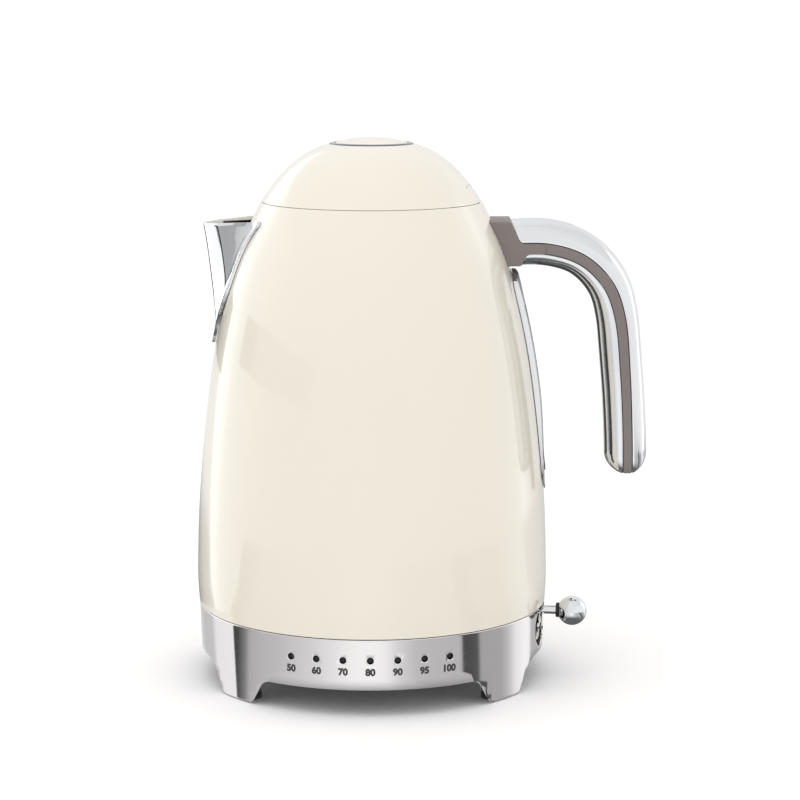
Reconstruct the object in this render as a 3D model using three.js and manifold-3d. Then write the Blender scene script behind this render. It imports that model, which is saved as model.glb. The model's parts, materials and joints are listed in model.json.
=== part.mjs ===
// Electric jug kettle on a round cordless base, as an assembly of separate pieces.
// Millimetres, +Z up. The kettle's own axis is x = y = 0 while the pieces are made, the spout points
// to -X, the handle to +X and the temperature scale to -Y. z = 0 is the worktop.
import * as THREE from 'three';
import { mergeVertices } from 'three/addons/utils/BufferGeometryUtils.js';
import Module from 'manifold-3d';

const wasm = await Module();
wasm.setup();

// ---------- driving dimensions ----------

// fits
const gap = 0.3;               // between neighbouring pieces
const seamGap = 0.6;           // shadow line round the lid and round the foot of the jug
const runningGap = 0.4;        // between pieces that slide or turn

// jug
const skinWall = 1.2;
const jugFootR = 87.8;
const jugFootZ = 38.8;
const bellyR = jugFootR + 0.7;
const bellyZ = 56;
const flankR = bellyR - 1.6;
const flankZ = 95;
const waistR = 82.2;
const waistZ = 143;
const chestR = 76.2;
const chestZ = 180;
const shoulderR = 66.9;
const shoulderZ = 215;
const mouthR = 55.05;
const mouthZ = 240.35;
const neckR = 49.1;            // inside of the neck that the lid plugs
const neckDepth = 9.8;
const ledgeDrop = 1.05;

// lid
const lidWall = 1.5;
const crownZ = 271;
const domePower = 2.85;        // fullness of the dome
const buttonR = 18;
const buttonRise = 1;
const buttonTravel = 3;
const buttonSkirt = 7;
const ringR = 20.7;
const coverR = 47.9;
const coverFloorZ = 232.9;
const sheet = 1.2;             // pressed sheet of the lid's inner cover
const stemR = 4;
const stemFootZ = 240.6;
const latchHalfWidth = 5;
const latchThick = 2.4;
const latchNoseR = 48.3;

// lid hinge, at the handle side
const hingeX = 49.9;
const hingeZ = 244.4;
const hingeHalfWidth = 16.6;
const hingeBarrelR = 4.9;
const knuckleHalfWidth = 6;
const knuckleR = 2.6;
const pinR = 1.1;
const hingeArmX = 34;

// spout, widest at its rim
const spoutWall = 1.2;
const rimTipZ = 230.7;
const rimSlope = 0.07;
const flangeThick = 1.6;
const flangeWidth = 4.5;
const spoutLevels = [
  { z: 168, nose: 78.9, sag: 0.2, crease: 1.5, root: 1.6 },
  { z: 177, nose: 78.4, sag: 1.2, crease: 4, root: 4.2 },
  { z: 188, nose: 78.5, sag: 3.2, crease: 8.2, root: 8.4 },
  { z: 200, nose: 79.6, sag: 5.2, crease: 11.6, root: 11.9 },
  { z: 212, nose: 81.2, sag: 5.9, crease: 12.8, root: 13.8 },
  { z: 222, nose: 82.8, sag: 5.7, crease: 13.3, root: 16.2 },
  { z: 236, nose: 85.2, sag: 5.2, crease: 13.9, root: 21 },
];
const pourTopZ = 229.5;        // opening in the skin behind the spout
const pourTopHalf = 17;
const pourFootZ = 188;
const pourFootHalf = 6;
const filterThick = 2;
const meshThick = 0.8;

// handle, in the plane y = 0
const handleRoute = [
  [66, 217.6], [88, 217.5], [104.9, 212], [117.5, 199.7],
  [123.5, 184.4], [127.2, 155], [129.2, 125], [129.8, 104.2],
];
const coreHalf = 2.5;          // half the grey band between the two chrome halves
const gripHalfWidth = 13;
const outerReachTop = 14;
const outerReachGrip = 9.2;
const innerReachTop = 9.2;
const innerReachGrip = 12.3;
const gripEndRound = 10;
const collarHalfWidth = 15;
const collarTopZ = 232.6;
const collarFootZ = 207.2;
const collarTopX = 68.9;
const collarWaistX = 75;
const collarLowX = 77.2;
const collarFootX = 74.6;
const bracketHalfWidth = 8;
const bracketX = 69.3;
const tongueX = 75.2;
const handleScrewX = 72.9;
const handleScrewY = 4.6;

// water gauge
const gaugeProud = 4.6;
const gaugeEdge = 1.2;          // proud height at its lower end
const gaugeHalfWidth = 14;
const gaugeFootZ = 95;
const gaugeTaperZ = 126;
const windowHalfWidth = 8.4;
const gaugeFarX = 110;
const windowInset = 9;
const gaugeHoleHalf = 5;

// under the jug
const deckZ = 41.2;            // top of the base's raised deck
const housingWall = 2;
const housingR = jugFootR - skinWall - 1.2;
const heaterZ = 66;
const heaterPlate = 1.5;
const heaterRim = 8;
const elementR = 4.4;
const elementRingR = 50;
const couplerR = 18;
const couplerTopZ = 55;
const jugScrewCircleR = 68;
const screwR = 1.5;
const screwHeadR = 3;

// cordless connector
const postR = 15;
const postStep = 2;
const contactPinR = 2.5;
const contactRingInner = 8.6;
const contactRingOuter = 11.4;
const contactTop = deckZ + 9.5;

// base
const baseTopR = jugFootR - 0.1;
const baseFootR = baseTopR - 1.5;
const baseTopZ = 38.2;
const skirtFootZ = 0.6;
const skirtWall = 3;
const ledgeZ = 34.2;
const ledgeWidth = 3.6;
const frontArchZ = 13.5;
const sideArchZ = 15.3;
const footInnerX = baseFootR - 28;       // where a foot begins, beside the front and rear arches
const footInnerY = baseFootR - 36.9;       // where a foot begins, beside the side arches
const trayZ = 13;
const trayThick = 1.8;
const padR = 4.7;
const padThick = 3;
const padStemR = 2;
const padStemTop = 7.6;
const padCircleR = baseFootR - skirtWall - padR - 0.5;
const padAzimuth = 48.8;
const trayScrewCircleR = baseTopR - 27.7;

// temperature scale
const scaleCount = 7;
const scaleStep = 8.67;
const scaleZ = 28.1;
const lampR = 1.7;

// cord gland
const glandZ = 22.7;
const glandR = 5;
const cordR = 3.2;

// power lever
const leverAzimuth = -9;       // from +X towards the front
const leverPivotR = baseTopR - 35.7;
const leverZ = 35;
const leverTravel = 12;
const ballR = 7.4;
const ballReach = baseTopR + 14.5;
const leverStemR = 2.2;
const leverNeckR = 3.7;
const slotHalfWidth = 12;
const slotHalfHeight = 11.5;
const slotZ = 29;
const shieldR = 31.3;          // about the lever's pivot
const shieldHalfWidth = 10.6;
const armHalfWidth = 4;
const pivotPinR = 1.5;
const earThick = 3;
const switchX = leverPivotR + 14;
const switchLength = 8;
const springX = leverPivotR + 9.5;
const hubHalfWidth = 7;
const hubR = 3.8;

// roundness
const wideSides = 48;           // pieces as wide as the kettle
const smallSides = 24;
const jugSpans = 12;
const domeSpans = 6;

// finish
const cream = { color: 0xefe7d8, roughness: 0.2, metalness: 0 };
const chrome = { color: 0xd5d7da, roughness: 0.08, metalness: 1 };
const satin = { color: 0xc3c4c6, roughness: 0.3, metalness: 1 };
const steel = { color: 0xb5b7b9, roughness: 0.35, metalness: 1 };
const taupe = { color: 0x7d7674, roughness: 0.5, metalness: 0 };
const black = { color: 0x1d1d1f, roughness: 0.5, metalness: 0 };
const clear = { color: 0xdfe6e8, roughness: 0.1, metalness: 0 };
const rubber = { color: 0x2a2a2b, roughness: 0.85, metalness: 0 };
const brass = { color: 0xb9924a, roughness: 0.35, metalness: 1 };
const green = { color: 0x2c5a3a, roughness: 0.6, metalness: 0 };

// ---------- solids ----------

function signedVolume(position, corners) {
  const a = new THREE.Vector3();
  const b = new THREE.Vector3();
  const c = new THREE.Vector3();
  let volume = 0;
  for (let i = 0; i < corners.length; i += 3) {
    a.fromBufferAttribute(position, corners[i]);
    b.fromBufferAttribute(position, corners[i + 1]);
    c.fromBufferAttribute(position, corners[i + 2]);
    volume += a.dot(b.cross(c)) / 6;
  }
  return volume;
}

function solid(geometry) {
  const bare = geometry.clone();
  bare.deleteAttribute('normal');
  bare.deleteAttribute('uv');
  const merged = mergeVertices(bare, 1e-4);
  const position = merged.attributes.position;
  const corners = [];
  for (let i = 0; i < merged.index.count; i += 3) {
    const [a, b, c] = [0, 1, 2].map((k) => merged.index.getX(i + k));
    if (a !== b && b !== c && c !== a) corners.push(a, b, c);
  }
  if (signedVolume(position, corners) < 0) corners.reverse();
  const vertProperties = new Float32Array(position.array);
  const triVerts = new Uint32Array(corners);
  return new wasm.Manifold(new wasm.Mesh({ numProp: 3, vertProperties, triVerts }));
}

function geometryOf(body) {
  const mesh = body.getMesh();
  const geometry = new THREE.BufferGeometry();
  geometry.setAttribute('position', new THREE.BufferAttribute(mesh.vertProperties, 3));
  geometry.setIndex(new THREE.BufferAttribute(mesh.triVerts, 1));
  geometry.computeVertexNormals();
  return geometry;
}

const joined = (...bodies) => bodies.reduce((whole, body) => whole.add(body));
const cut = (body, ...cutters) => cutters.reduce((rest, cutter) => rest.subtract(cutter), body);

// the biggest of a body's separate pieces
const largestOf = (body) => body.decompose().sort((a, b) => b.volume() - a.volume())[0];

// a ring or disc about Z; the profile of [radius, height] pairs ends on the axis or is closed here
function turned(profile, segments = wideSides) {
  const points = profile.map(([r, z]) => new THREE.Vector2(r, z));
  const onAxis = points[0].x === 0 && points[points.length - 1].x === 0;
  if (!onAxis) points.push(points[0].clone());
  return solid(new THREE.LatheGeometry(points, segments).rotateX(Math.PI / 2));
}

const tube = (inner, outer, z0, z1, segments = wideSides) => turned(
  [[inner, z0], [outer, z0], [outer, z1], [inner, z1]], segments);

const disc = (r, z0, z1, segments = smallSides) => turned([[0, z0], [r, z0], [r, z1], [0, z1]], segments);

function block(x0, x1, y0, y1, z0, z1) {
  const box = new THREE.BoxGeometry(x1 - x0, y1 - y0, z1 - z0);
  return solid(box.translate((x0 + x1) / 2, (y0 + y1) / 2, (z0 + z1) / 2));
}

function rod(from, to, r, segments = 16) {
  const start = new THREE.Vector3(...from);
  const end = new THREE.Vector3(...to);
  const along = end.clone().sub(start);
  const geometry = new THREE.CylinderGeometry(r, r, along.length(), segments);
  const turn = new THREE.Quaternion().setFromUnitVectors(new THREE.Vector3(0, 1, 0), along.normalize());
  geometry.applyQuaternion(turn);
  const middle = start.add(end).multiplyScalar(0.5);
  return solid(geometry.translate(middle.x, middle.y, middle.z));
}

const plainExtrusion = { bevelEnabled: false, curveSegments: 8 };

// an outline in the plane of X and Z, as thick as 2 * halfWidth along Y
function slabXZ(outline, halfWidth) {
  const shape = outline instanceof THREE.Shape ? outline
    : new THREE.Shape(outline.map(([x, z]) => new THREE.Vector2(x, z)));
  const geometry = new THREE.ExtrudeGeometry(shape, { depth: 2 * halfWidth, ...plainExtrusion });
  return solid(geometry.rotateX(Math.PI / 2).translate(0, halfWidth, 0));
}

// an outline in the plane of Y and Z, from x0 to x1
function slabYZ(outline, x0, x1) {
  const shape = outline instanceof THREE.Shape ? outline
    : new THREE.Shape(outline.map(([y, z]) => new THREE.Vector2(y, z)));
  const geometry = new THREE.ExtrudeGeometry(shape, { depth: x1 - x0, ...plainExtrusion });
  return solid(geometry.rotateX(Math.PI / 2).rotateZ(Math.PI / 2).translate(x0, 0, 0));
}

// sections with the same number of points, joined in order and capped by fans
function loft(sections) {
  const count = sections[0].length;
  const points = sections.flat();
  const faces = [];
  for (let s = 0; s + 1 < sections.length; s += 1) {
    for (let i = 0; i < count; i += 1) {
      const a = s * count + i;
      const b = s * count + (i + 1) % count;
      faces.push(a, b, b + count, a, b + count, a + count);
    }
  }
  for (const [section, flip] of [[0, true], [sections.length - 1, false]]) {
    const centre = points.length;
    const middle = new THREE.Vector3();
    sections[section].forEach((p) => middle.addScaledVector(p, 1 / count));
    points.push(middle);
    for (let i = 0; i < count; i += 1) {
      const a = section * count + i;
      const b = section * count + (i + 1) % count;
      faces.push(...(flip ? [b, a, centre] : [a, b, centre]));
    }
  }
  const geometry = new THREE.BufferGeometry().setFromPoints(points);
  geometry.setIndex(faces);
  return solid(geometry);
}

function coil({ x, y, z0, z1, r, wireR, turns }) {
  const perTurn = 7;
  const steps = Math.round(turns * perTurn);
  const points = [];
  for (let i = 0; i <= steps; i += 1) {
    const angle = 2 * Math.PI * i / perTurn;
    const z = z0 + wireR + (z1 - z0 - 2 * wireR) * i / steps;
    points.push(new THREE.Vector3(x + r * Math.cos(angle), y + r * Math.sin(angle), z));
  }
  return swept(points, wireR, 4, steps);
}

function swept(points, r, sides, steps) {
  const section = new THREE.Shape();
  for (let i = 0; i < sides; i += 1) {
    const angle = 2 * Math.PI * i / sides;
    section[i ? 'lineTo' : 'moveTo'](r * Math.cos(angle), r * Math.sin(angle));
  }
  section.closePath();
  const extrudePath = new THREE.CatmullRomCurve3(points);
  return solid(new THREE.ExtrudeGeometry(section, { steps, extrudePath, bevelEnabled: false }));
}

// azimuth in degrees from the front, positive towards the handle
function around(r, azimuth, z = 0) {
  const angle = THREE.MathUtils.degToRad(azimuth);
  return [r * Math.sin(angle), -r * Math.cos(angle), z];
}

// ---------- outline of the jug and lid ----------

const jugOutline = new THREE.SplineCurve([
  [jugFootR, jugFootZ], [bellyR, bellyZ], [flankR, flankZ], [waistR, waistZ],
  [chestR, chestZ], [shoulderR, shoulderZ], [mouthR, mouthZ],
].map(([r, z]) => new THREE.Vector2(r, z)));

// points of the jug's outline moved out along its normal
function jugPoints(offset, spans = jugSpans) {
  const points = [];
  for (let i = 0; i <= spans; i += 1) {
    const at = jugOutline.getPoint(i / spans);
    const along = jugOutline.getTangent(i / spans);
    const out = typeof offset === 'function' ? offset(at.y) : offset;
    points.push([at.x + out * along.y, at.y - out * along.x]);
  }
  return points;
}

function radiusAt(points, z) {
  const i = Math.max(1, points.findIndex((p) => p[1] >= z));
  const [[r0, z0], [r1, z1]] = [points[i - 1], points[i]];
  return r0 + (r1 - r0) * (z - z0) / (z1 - z0);
}

// the full volume inside the jug's outline, grown by an offset
function jugEnvelope(offset) {
  const points = jugPoints(offset);
  return turned([[0, points[0][1]], ...points, [0, points[points.length - 1][1]]]);
}

const lidRimZ = mouthZ + seamGap;
const lidRimR = mouthR - 0.3;
const domeZ = (r) => crownZ - (crownZ - lidRimZ) * (r / lidRimR) ** domePower;

function domePoints(inset, fromR, toR, spans = domeSpans) {
  const points = [];
  for (let i = 0; i <= spans; i += 1) {
    const r = fromR + (toR - fromR) * i / spans;
    const rise = -(crownZ - lidRimZ) * domePower / lidRimR * (r / lidRimR) ** (domePower - 1);
    const length = Math.hypot(1, rise);
    points.push([r + inset * rise / length, domeZ(r) - inset / length]);
  }
  return points;
}

// ---------- assembly ----------

const kettle = new THREE.Group();

function place(name, body, finish) {
  const mesh = new THREE.Mesh(geometryOf(body), new THREE.MeshStandardMaterial(finish));
  mesh.name = name;
  kettle.add(mesh);
}

// ---------- spout ----------

function spoutSection({ z, nose, sag, crease, root }, { grow = 0, rise = 0 }) {
  const inside = 46;
  const half = crease + grow;
  const points = [new THREE.Vector3(-inside, -(root + grow * 1.3), z + rise)];
  const noseSteps = 6;
  for (let i = 0; i <= noseSteps; i += 1) {
    const share = i / noseSteps * 2 - 1;
    const x = nose + grow - sag * share * share;
    points.push(new THREE.Vector3(-x, half * share, z + rise));
  }
  points.push(new THREE.Vector3(-inside, root + grow * 1.3, z + rise));
  return points;
}

const spoutVolume = (options) => loft(spoutLevels.map((level) => spoutSection(level, options)));

function rimCutter() {
  const tipX = -90;
  const bodyX = -40;
  return slabXZ([
    [tipX, rimTipZ - 0.3], [bodyX, rimTipZ + rimSlope * (bodyX - tipX)], [bodyX, 250], [tipX, 250],
  ], 40);
}

function makeSpout() {
  const channel = spoutVolume({ grow: -spoutWall, rise: 10 });
  const shell = cut(spoutVolume({}), channel, jugEnvelope(gap));
  const skirtRing = jugEnvelope(gap + flangeThick).intersect(spoutVolume({ grow: flangeWidth, rise: -4 }));
  const flange = cut(skirtRing, jugEnvelope(gap), channel);
  const above = rimCutter();
  const whole = cut(joined(shell, flange), above);
  place('spout', largestOf(whole), chrome);
}

// ---------- jug skin ----------

const pourOutline = [
  [-pourTopHalf, pourTopZ], [-pourFootHalf, pourFootZ], [pourFootHalf, pourFootZ], [pourTopHalf, pourTopZ],
];

const gaugeTopZ = collarFootZ - gap;
const gaugeHoleFootZ = gaugeFootZ + windowInset + 4;
const gaugeHoleTopZ = gaugeTopZ - windowInset - 4;

function stadium(halfWidth, foot, top) {
  const shape = new THREE.Shape();
  shape.moveTo(-halfWidth, foot + halfWidth);
  shape.absarc(0, foot + halfWidth, halfWidth, Math.PI, 2 * Math.PI, false);
  shape.lineTo(halfWidth, top - halfWidth);
  shape.absarc(0, top - halfWidth, halfWidth, 0, Math.PI, false);
  return shape;
}

function makeBodyShell() {
  const ledge = mouthZ - ledgeDrop;
  const neckFoot = ledge - neckDepth;
  const neckOuter = neckR + skinWall;
  const inner = jugPoints(-skinWall).filter(([, z]) => z < ledge - skinWall - 1).reverse();
  const topInnerR = radiusAt(jugPoints(-skinWall), ledge - skinWall);
  const skin = turned([
    ...jugPoints(0),
    [mouthR - skinWall - 0.1, mouthZ], [mouthR - skinWall - 0.1, ledge],
    [neckR, ledge], [neckR, neckFoot], [neckOuter, neckFoot], [neckOuter, ledge - skinWall],
    [topInnerR, ledge - skinWall],
    ...inner,
  ]);
  const pour = slabYZ(pourOutline, -100, -neckOuter - 1.5);
  const gaugeHole = slabYZ(stadium(gaugeHoleHalf, gaugeHoleFootZ, gaugeHoleTopZ), 0, gaugeFarX);
  const catchHalf = latchHalfWidth + 1.2;
  const catchClear = 0.8;
  const catchHole = block(-neckOuter - 1, -neckR + 2, -catchHalf, catchHalf,
    latchZ - catchClear, latchZ + latchThick + catchClear);
  place('body_shell', cut(skin, pour, gaugeHole, catchHole), cream);
}

// ---------- limescale filter behind the spout ----------

function makeFilter() {
  const topX = -55.9;
  const footX = -70.3;
  const lean = Math.atan2(topX - footX, pourTopZ - pourFootZ);
  const length = Math.hypot(topX - footX, pourTopZ - pourFootZ);
  const plate = (inset, thick, back) => {
    const footHalf = pourFootHalf + 1 - inset;
    const topHalf = pourTopHalf + 0.6 - inset;
    const outline = [
      [-footHalf, inset], [footHalf, inset], [topHalf, length - inset], [-topHalf, length - inset],
    ];
    const shape = new THREE.Shape(outline.map(([y, z]) => new THREE.Vector2(y, z)));
    const geometry = new THREE.ExtrudeGeometry(shape, { depth: thick, bevelEnabled: false });
    geometry.rotateX(Math.PI / 2).rotateZ(Math.PI / 2).translate(back, 0, 0);
    geometry.rotateY(lean).translate(footX, 0, pourFootZ);
    return solid(geometry);
  };
  const border = 2.2;
  place('spout_filter_frame', cut(plate(0, filterThick, 0), plate(border, filterThick + 4, -2)), black);
  place('spout_filter_mesh', plate(border + gap, meshThick, (filterThick - meshThick) / 2), steel);
}

// ---------- lid ----------

const latchZ = coverFloorZ + sheet + 0.5;

const hingeRod = (halfLength, r) => rod(
  [hingeX, -halfLength, hingeZ], [hingeX, halfLength, hingeZ], r, smallSides);

const hingeBarrel = (grow = 0) => hingeRod(hingeHalfWidth + grow, hingeBarrelR + grow);

function hingeNotch(grow) {
  const half = hingeHalfWidth + grow;
  const below = block(hingeX - hingeBarrelR - grow, lidRimR + 10, -half, half, mouthZ - neckDepth, hingeZ);
  return joined(hingeBarrel(grow), below);
}

function makeLidShell() {
  const hole = ringR + gap;
  const rim = lidRimR - lidWall - 0.3;
  const outer = domePoints(0, lidRimR, hole);
  const inner = domePoints(lidWall, hole + 0.6, lidRimR - 0.4).filter(([r, z]) => z > lidRimZ + 0.2);
  const holeFoot = inner[0][1];
  const dome = turned([...outer, [hole, holeFoot], ...inner, [rim, lidRimZ]]);
  place('lid_shell', cut(dome, hingeNotch(gap + 0.2)), cream);
}

function makeLidInnerCover() {
  const flangeR = lidRimR - lidWall - 1.4;
  const flangeZ = lidRimZ + 0.3;
  const pan = turned([
    [0, coverFloorZ], [coverR, coverFloorZ], [coverR, flangeZ],
    [flangeR, flangeZ], [flangeR, flangeZ + sheet], [coverR - sheet, flangeZ + sheet],
    [coverR - sheet, coverFloorZ + sheet], [0, coverFloorZ + sheet],
  ]);
  const slot = block(-coverR - 2, -coverR + 4, -latchHalfWidth - gap, latchHalfWidth + gap,
    latchZ - gap, latchZ + latchThick + gap);
  place('lid_inner_cover', cut(pan, slot, hingeNotch(gap + 0.2)), steel);
}

function makeLidGasket() {
  const foot = latchZ + latchThick + 0.6;
  const ring = tube(coverR + gap, neckR - gap, foot, lidRimZ - 0.2);
  place('lid_gasket', cut(ring, hingeBarrel(gap)), rubber);
}

function makeLidButton() {
  const ringTop = domeZ(ringR);
  const bore = buttonR + runningGap;
  const buttonEdge = ringTop + 0.5;
  const seat = ringTop - buttonSkirt - buttonTravel - 1;
  place('lid_button_ring', turned([
    [bore, seat], [ringR, seat], [ringR, ringTop + 0.2], [bore + 0.8, ringTop + 0.6], [bore, ringTop + 0.4],
  ], 32), chrome);
  const top = crownZ + buttonRise;
  const crown = [];
  for (let i = 0; i <= 4; i += 1) {
    const r = buttonR * (1 - i / 4);
    crown.push([r, top - (top - buttonEdge) * (r / buttonR) ** 2.2]);
  }
  const skirtFoot = buttonEdge - buttonSkirt;
  const cap = turned([
    [0, stemFootZ], [stemR, stemFootZ], [stemR, buttonEdge - 1.2], [buttonR - 1.4, buttonEdge - 1.2],
    [buttonR - 1.4, skirtFoot], [buttonR, skirtFoot], ...crown,
  ], 32);
  const wedge = slabXZ([[0, stemFootZ - 1], [12, stemFootZ + 11], [12, stemFootZ - 1]], stemR + 1);
  place('lid_button', cut(cap, wedge), cream);
  return buttonEdge;
}

function makeLatch() {
  const rampClear = 0.7;
  const rampTop = stemFootZ + 6;
  const tail = 10;
  const outline = [
    [-latchNoseR, latchZ], [tail, latchZ], [tail, rampTop], [rampTop - stemFootZ + rampClear + 1, rampTop],
    [rampClear + 1, stemFootZ], [rampClear + 1, latchZ + latchThick],
    [-latchNoseR + 1.6, latchZ + latchThick],
    [-latchNoseR, latchZ + latchThick - 1.4],
  ];
  place('lid_latch', slabXZ(outline, latchHalfWidth), black);
}

function makeButtonSpring(buttonEdge) {
  const seatTop = stemFootZ + 9;
  const seatR = 12;
  const legFoot = coverFloorZ + sheet + gap;
  const legTop = seatTop - 1;
  const stand = joined(
    disc(seatR, seatTop - 1.6, seatTop, 32),
    block(-3, 3, seatR - 3, seatR, legFoot, legTop),
    block(-3, 3, -seatR, 3 - seatR, legFoot, legTop),
  );
  place('lid_spring_seat', cut(stand, disc(stemR + 0.8, legTop - 2, seatTop + 3, 32)), black);
  place('lid_button_spring', coil({
    x: 0, y: 0, z0: seatTop + gap, z1: buttonEdge - 1.2 - gap, r: 6.4, wireR: 0.6, turns: 5,
  }), steel);
}

function makeHinge() {
  const dome = turned([[0, mouthZ - 10], [mouthR - 3, mouthZ - 10], [mouthR - 3, lidRimZ - 0.3],
    ...domePoints(0.1, lidRimR, 8), [0, crownZ - 1]]);
  const foot = mouthZ - ledgeDrop + gap;
  const base = block(hingeX, hingeX + 4, -hingeHalfWidth, hingeHalfWidth, foot, hingeZ);
  const knuckleWay = runningGap + knuckleHalfWidth;
  const slotFoot = hingeZ - knuckleR - runningGap;
  const slot = block(hingeX - 9, hingeX + 9, -knuckleWay, knuckleWay, slotFoot, hingeZ + 12);
  const bore = hingeRod(2 * hingeHalfWidth, pinR + gap);
  const skinEdge = tube(mouthR - skinWall - 0.1 - gap, mouthR + 12, foot - 2, mouthZ + gap);
  const neckWay = disc(neckR + 0.2, foot - 2, lidRimZ + 0.2, wideSides);
  const outer = joined(hingeBarrel(), base).intersect(dome);
  place('lid_hinge_block', cut(outer, skinEdge, neckWay, slot, bore), taupe);
  place('lid_hinge_pin', hingeRod(hingeHalfWidth - 1.5, pinR), steel);
  const armTop = hingeZ + 0.8;
  const armFoot = lidRimZ + 0.3 + sheet + gap;
  const knuckle = hingeRod(knuckleHalfWidth, knuckleR);
  const arm = block(hingeArmX, hingeX, -knuckleHalfWidth, knuckleHalfWidth, armFoot, armTop);
  place('lid_hinge_arm', cut(joined(knuckle, arm), bore), taupe);
}

// ---------- handle ----------

const handleCurve = new THREE.CatmullRomCurve3(handleRoute.map(([x, z]) => new THREE.Vector3(x, 0, z)));

// position along the handle, and the two directions of its section
function handleStation(share) {
  const at = handleCurve.getPointAt(share);
  const along = handleCurve.getTangentAt(share);
  return { at, out: new THREE.Vector3(-along.z, 0, along.x) };
}

const ease = (share, from, to) => THREE.MathUtils.smoothstep(share, from, to);
const outerReach = (share) => outerReachTop + (outerReachGrip - outerReachTop) * ease(share, 0.1, 0.6);
const innerReach = (share) => innerReachTop + (innerReachGrip - innerReachTop) * ease(share, 0.2, 0.6);

// roundness of the grip's lower end: 1 along the grip, falling to about 0 at the tip
function endRound(share, length) {
  const left = (1 - share) * length;
  if (left >= gripEndRound) return 1;
  return Math.sqrt(Math.max(0.02, 1 - (1 - left / gripEndRound) ** 2));
}

const gripWidth = (round) => gripHalfWidth * (0.7 + 0.3 * round);

function chromeHalf(side, reach) {
  const length = handleCurve.getLength();
  const shares = [];
  const spans = 17;
  for (let i = 0; i <= spans; i += 1) shares.push(0.02 + 0.88 * i / spans);
  shares.push(0.93, 0.955, 0.975, 0.99, 0.998);
  return loft(shares.map((share) => {
    const { at, out } = handleStation(share);
    const round = endRound(share, length);
    const base = coreHalf + gap;
    const width = gripWidth(round);
    const height = Math.max(0.6, (reach(share) - base) * round);
    const points = [];
    const steps = 9;
    for (let i = 0; i <= steps; i += 1) {
      const angle = Math.PI * i / steps;
      const y = -width * Math.cos(angle);
      const rise = base + height * Math.sin(angle) ** 0.8;
      points.push(at.clone().addScaledVector(out, side * rise).setY(y));
    }
    return points;
  }));
}

function handleCoreBar() {
  const length = handleCurve.getLength();
  const shares = [];
  const spans = 18;
  for (let i = 0; i <= spans; i += 1) shares.push(0.06 + 0.9 * i / spans);
  shares.push(0.98, 1);
  return loft(shares.map((share) => {
    const { at, out } = handleStation(share);
    const width = gripWidth(endRound(share, length)) - 0.05;
    return [[-1, -1], [1, -1], [1, 1], [-1, 1]].map(([across, up]) => at.clone()
      .addScaledVector(out, up * coreHalf).setY(across * width));
  }));
}

const handleZ = handleRoute[1][1];

function bracketSolid(grow) {
  const half = bracketHalfWidth + grow;
  const foot = handleZ - 4 - grow;
  const plate = block(neckR, bracketX + grow, -half, half, foot, handleZ + 9 + grow);
  const tongue = block(neckR, tongueX + grow, -half, half, foot, handleZ + 0.5 + grow);
  return joined(plate, tongue);
}

function handleScrew(y, grow) {
  const at = (z) => [handleScrewX, y, z];
  const headTop = collarFootZ + 2.6;
  const shank = rod(at(headTop - 0.5), at(handleZ - 0.6 + grow * 2), 1.4 + grow, 16);
  const head = rod(at(collarFootZ + 0.2 - grow * 4), at(headTop + grow), 2.4 + grow, 20);
  return joined(shank, head);
}

function makeHandle() {
  const coreTop = handleZ + coreHalf;
  const coreFoot = handleZ - coreHalf;
  const behind = 50;
  const outline = [
    [behind, collarTopZ], [collarTopX, collarTopZ], [collarWaistX, coreTop], [collarLowX, coreTop],
    [collarLowX, coreFoot], [collarFootX, collarFootZ], [behind, collarFootZ],
  ];
  const body = jugEnvelope(gap);
  const screwWays = [-handleScrewY, handleScrewY].map((y) => handleScrew(y, gap));
  const collar = slabXZ(outline, collarHalfWidth);
  const core = cut(joined(collar, handleCoreBar()), body, bracketSolid(gap), ...screwWays);
  place('handle_core', largestOf(core), taupe);

  const clear = 0.35;
  const slope = (collarTopX - collarWaistX) / (collarTopZ - coreTop);
  const above = 250;
  const aboveCollar = slabXZ([
    [behind, above], [collarWaistX + slope * (above - coreTop) + clear, above],
    [collarWaistX + clear, coreTop], [collarWaistX + clear, handleZ], [behind, handleZ],
  ], 2 * collarHalfWidth);
  place('handle_outer_cover', cut(chromeHalf(1, outerReach), aboveCollar), chrome);

  const below = collarFootZ - 8;
  const belowCollar = slabXZ([
    [behind, handleZ], [collarLowX + clear, handleZ], [collarLowX + clear, coreFoot],
    [collarFootX + clear, collarFootZ], [collarFootX - 1, below], [behind, below],
  ], 2 * collarHalfWidth);
  place('handle_inner_cover', cut(chromeHalf(-1, innerReach), belowCollar), chrome);

  place('handle_bracket', cut(bracketSolid(0), body, ...screwWays), steel);
  place('handle_screw_left', handleScrew(-handleScrewY, 0), steel);
  place('handle_screw_right', handleScrew(handleScrewY, 0), steel);
}

// ---------- water gauge ----------

function gaugeBand(outer, inner, halfWidth, foot, top) {
  const band = slabYZ(stadium(halfWidth, foot, top), 0, gaugeFarX);
  return cut(jugEnvelope(outer).intersect(band), jugEnvelope(inner));
}

function makeGauge() {
  const proud = (z) => gaugeEdge + (gaugeProud - gaugeEdge) * ease(z, gaugeFootZ, gaugeTaperZ);
  const windowFoot = gaugeFootZ + windowInset;
  const windowTop = gaugeTopZ - windowInset;
  const hole = slabYZ(stadium(windowHalfWidth, windowFoot, windowTop), 0, gaugeFarX);
  place('water_gauge_bezel', cut(gaugeBand(proud, gap, gaugeHalfWidth, gaugeFootZ, gaugeTopZ), hole), chrome);
  const paneHalf = windowHalfWidth - gap;
  const pane = gaugeBand((z) => proud(z) - 0.5, 2.1, paneHalf, windowFoot + gap, windowTop - gap);
  place('water_gauge_window', pane, clear);
  const ring = cut(
    gaugeBand(1.8, gap, paneHalf, windowFoot + gap, windowTop - gap),
    slabYZ(stadium(gaugeHoleHalf + 0.4, gaugeHoleFootZ - 0.4, gaugeHoleTopZ + 0.4), 0, gaugeFarX),
  );
  place('water_gauge_gasket', ring, rubber);
}

// ---------- underside of the jug ----------

const housingZ = deckZ + seamGap;

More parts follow.
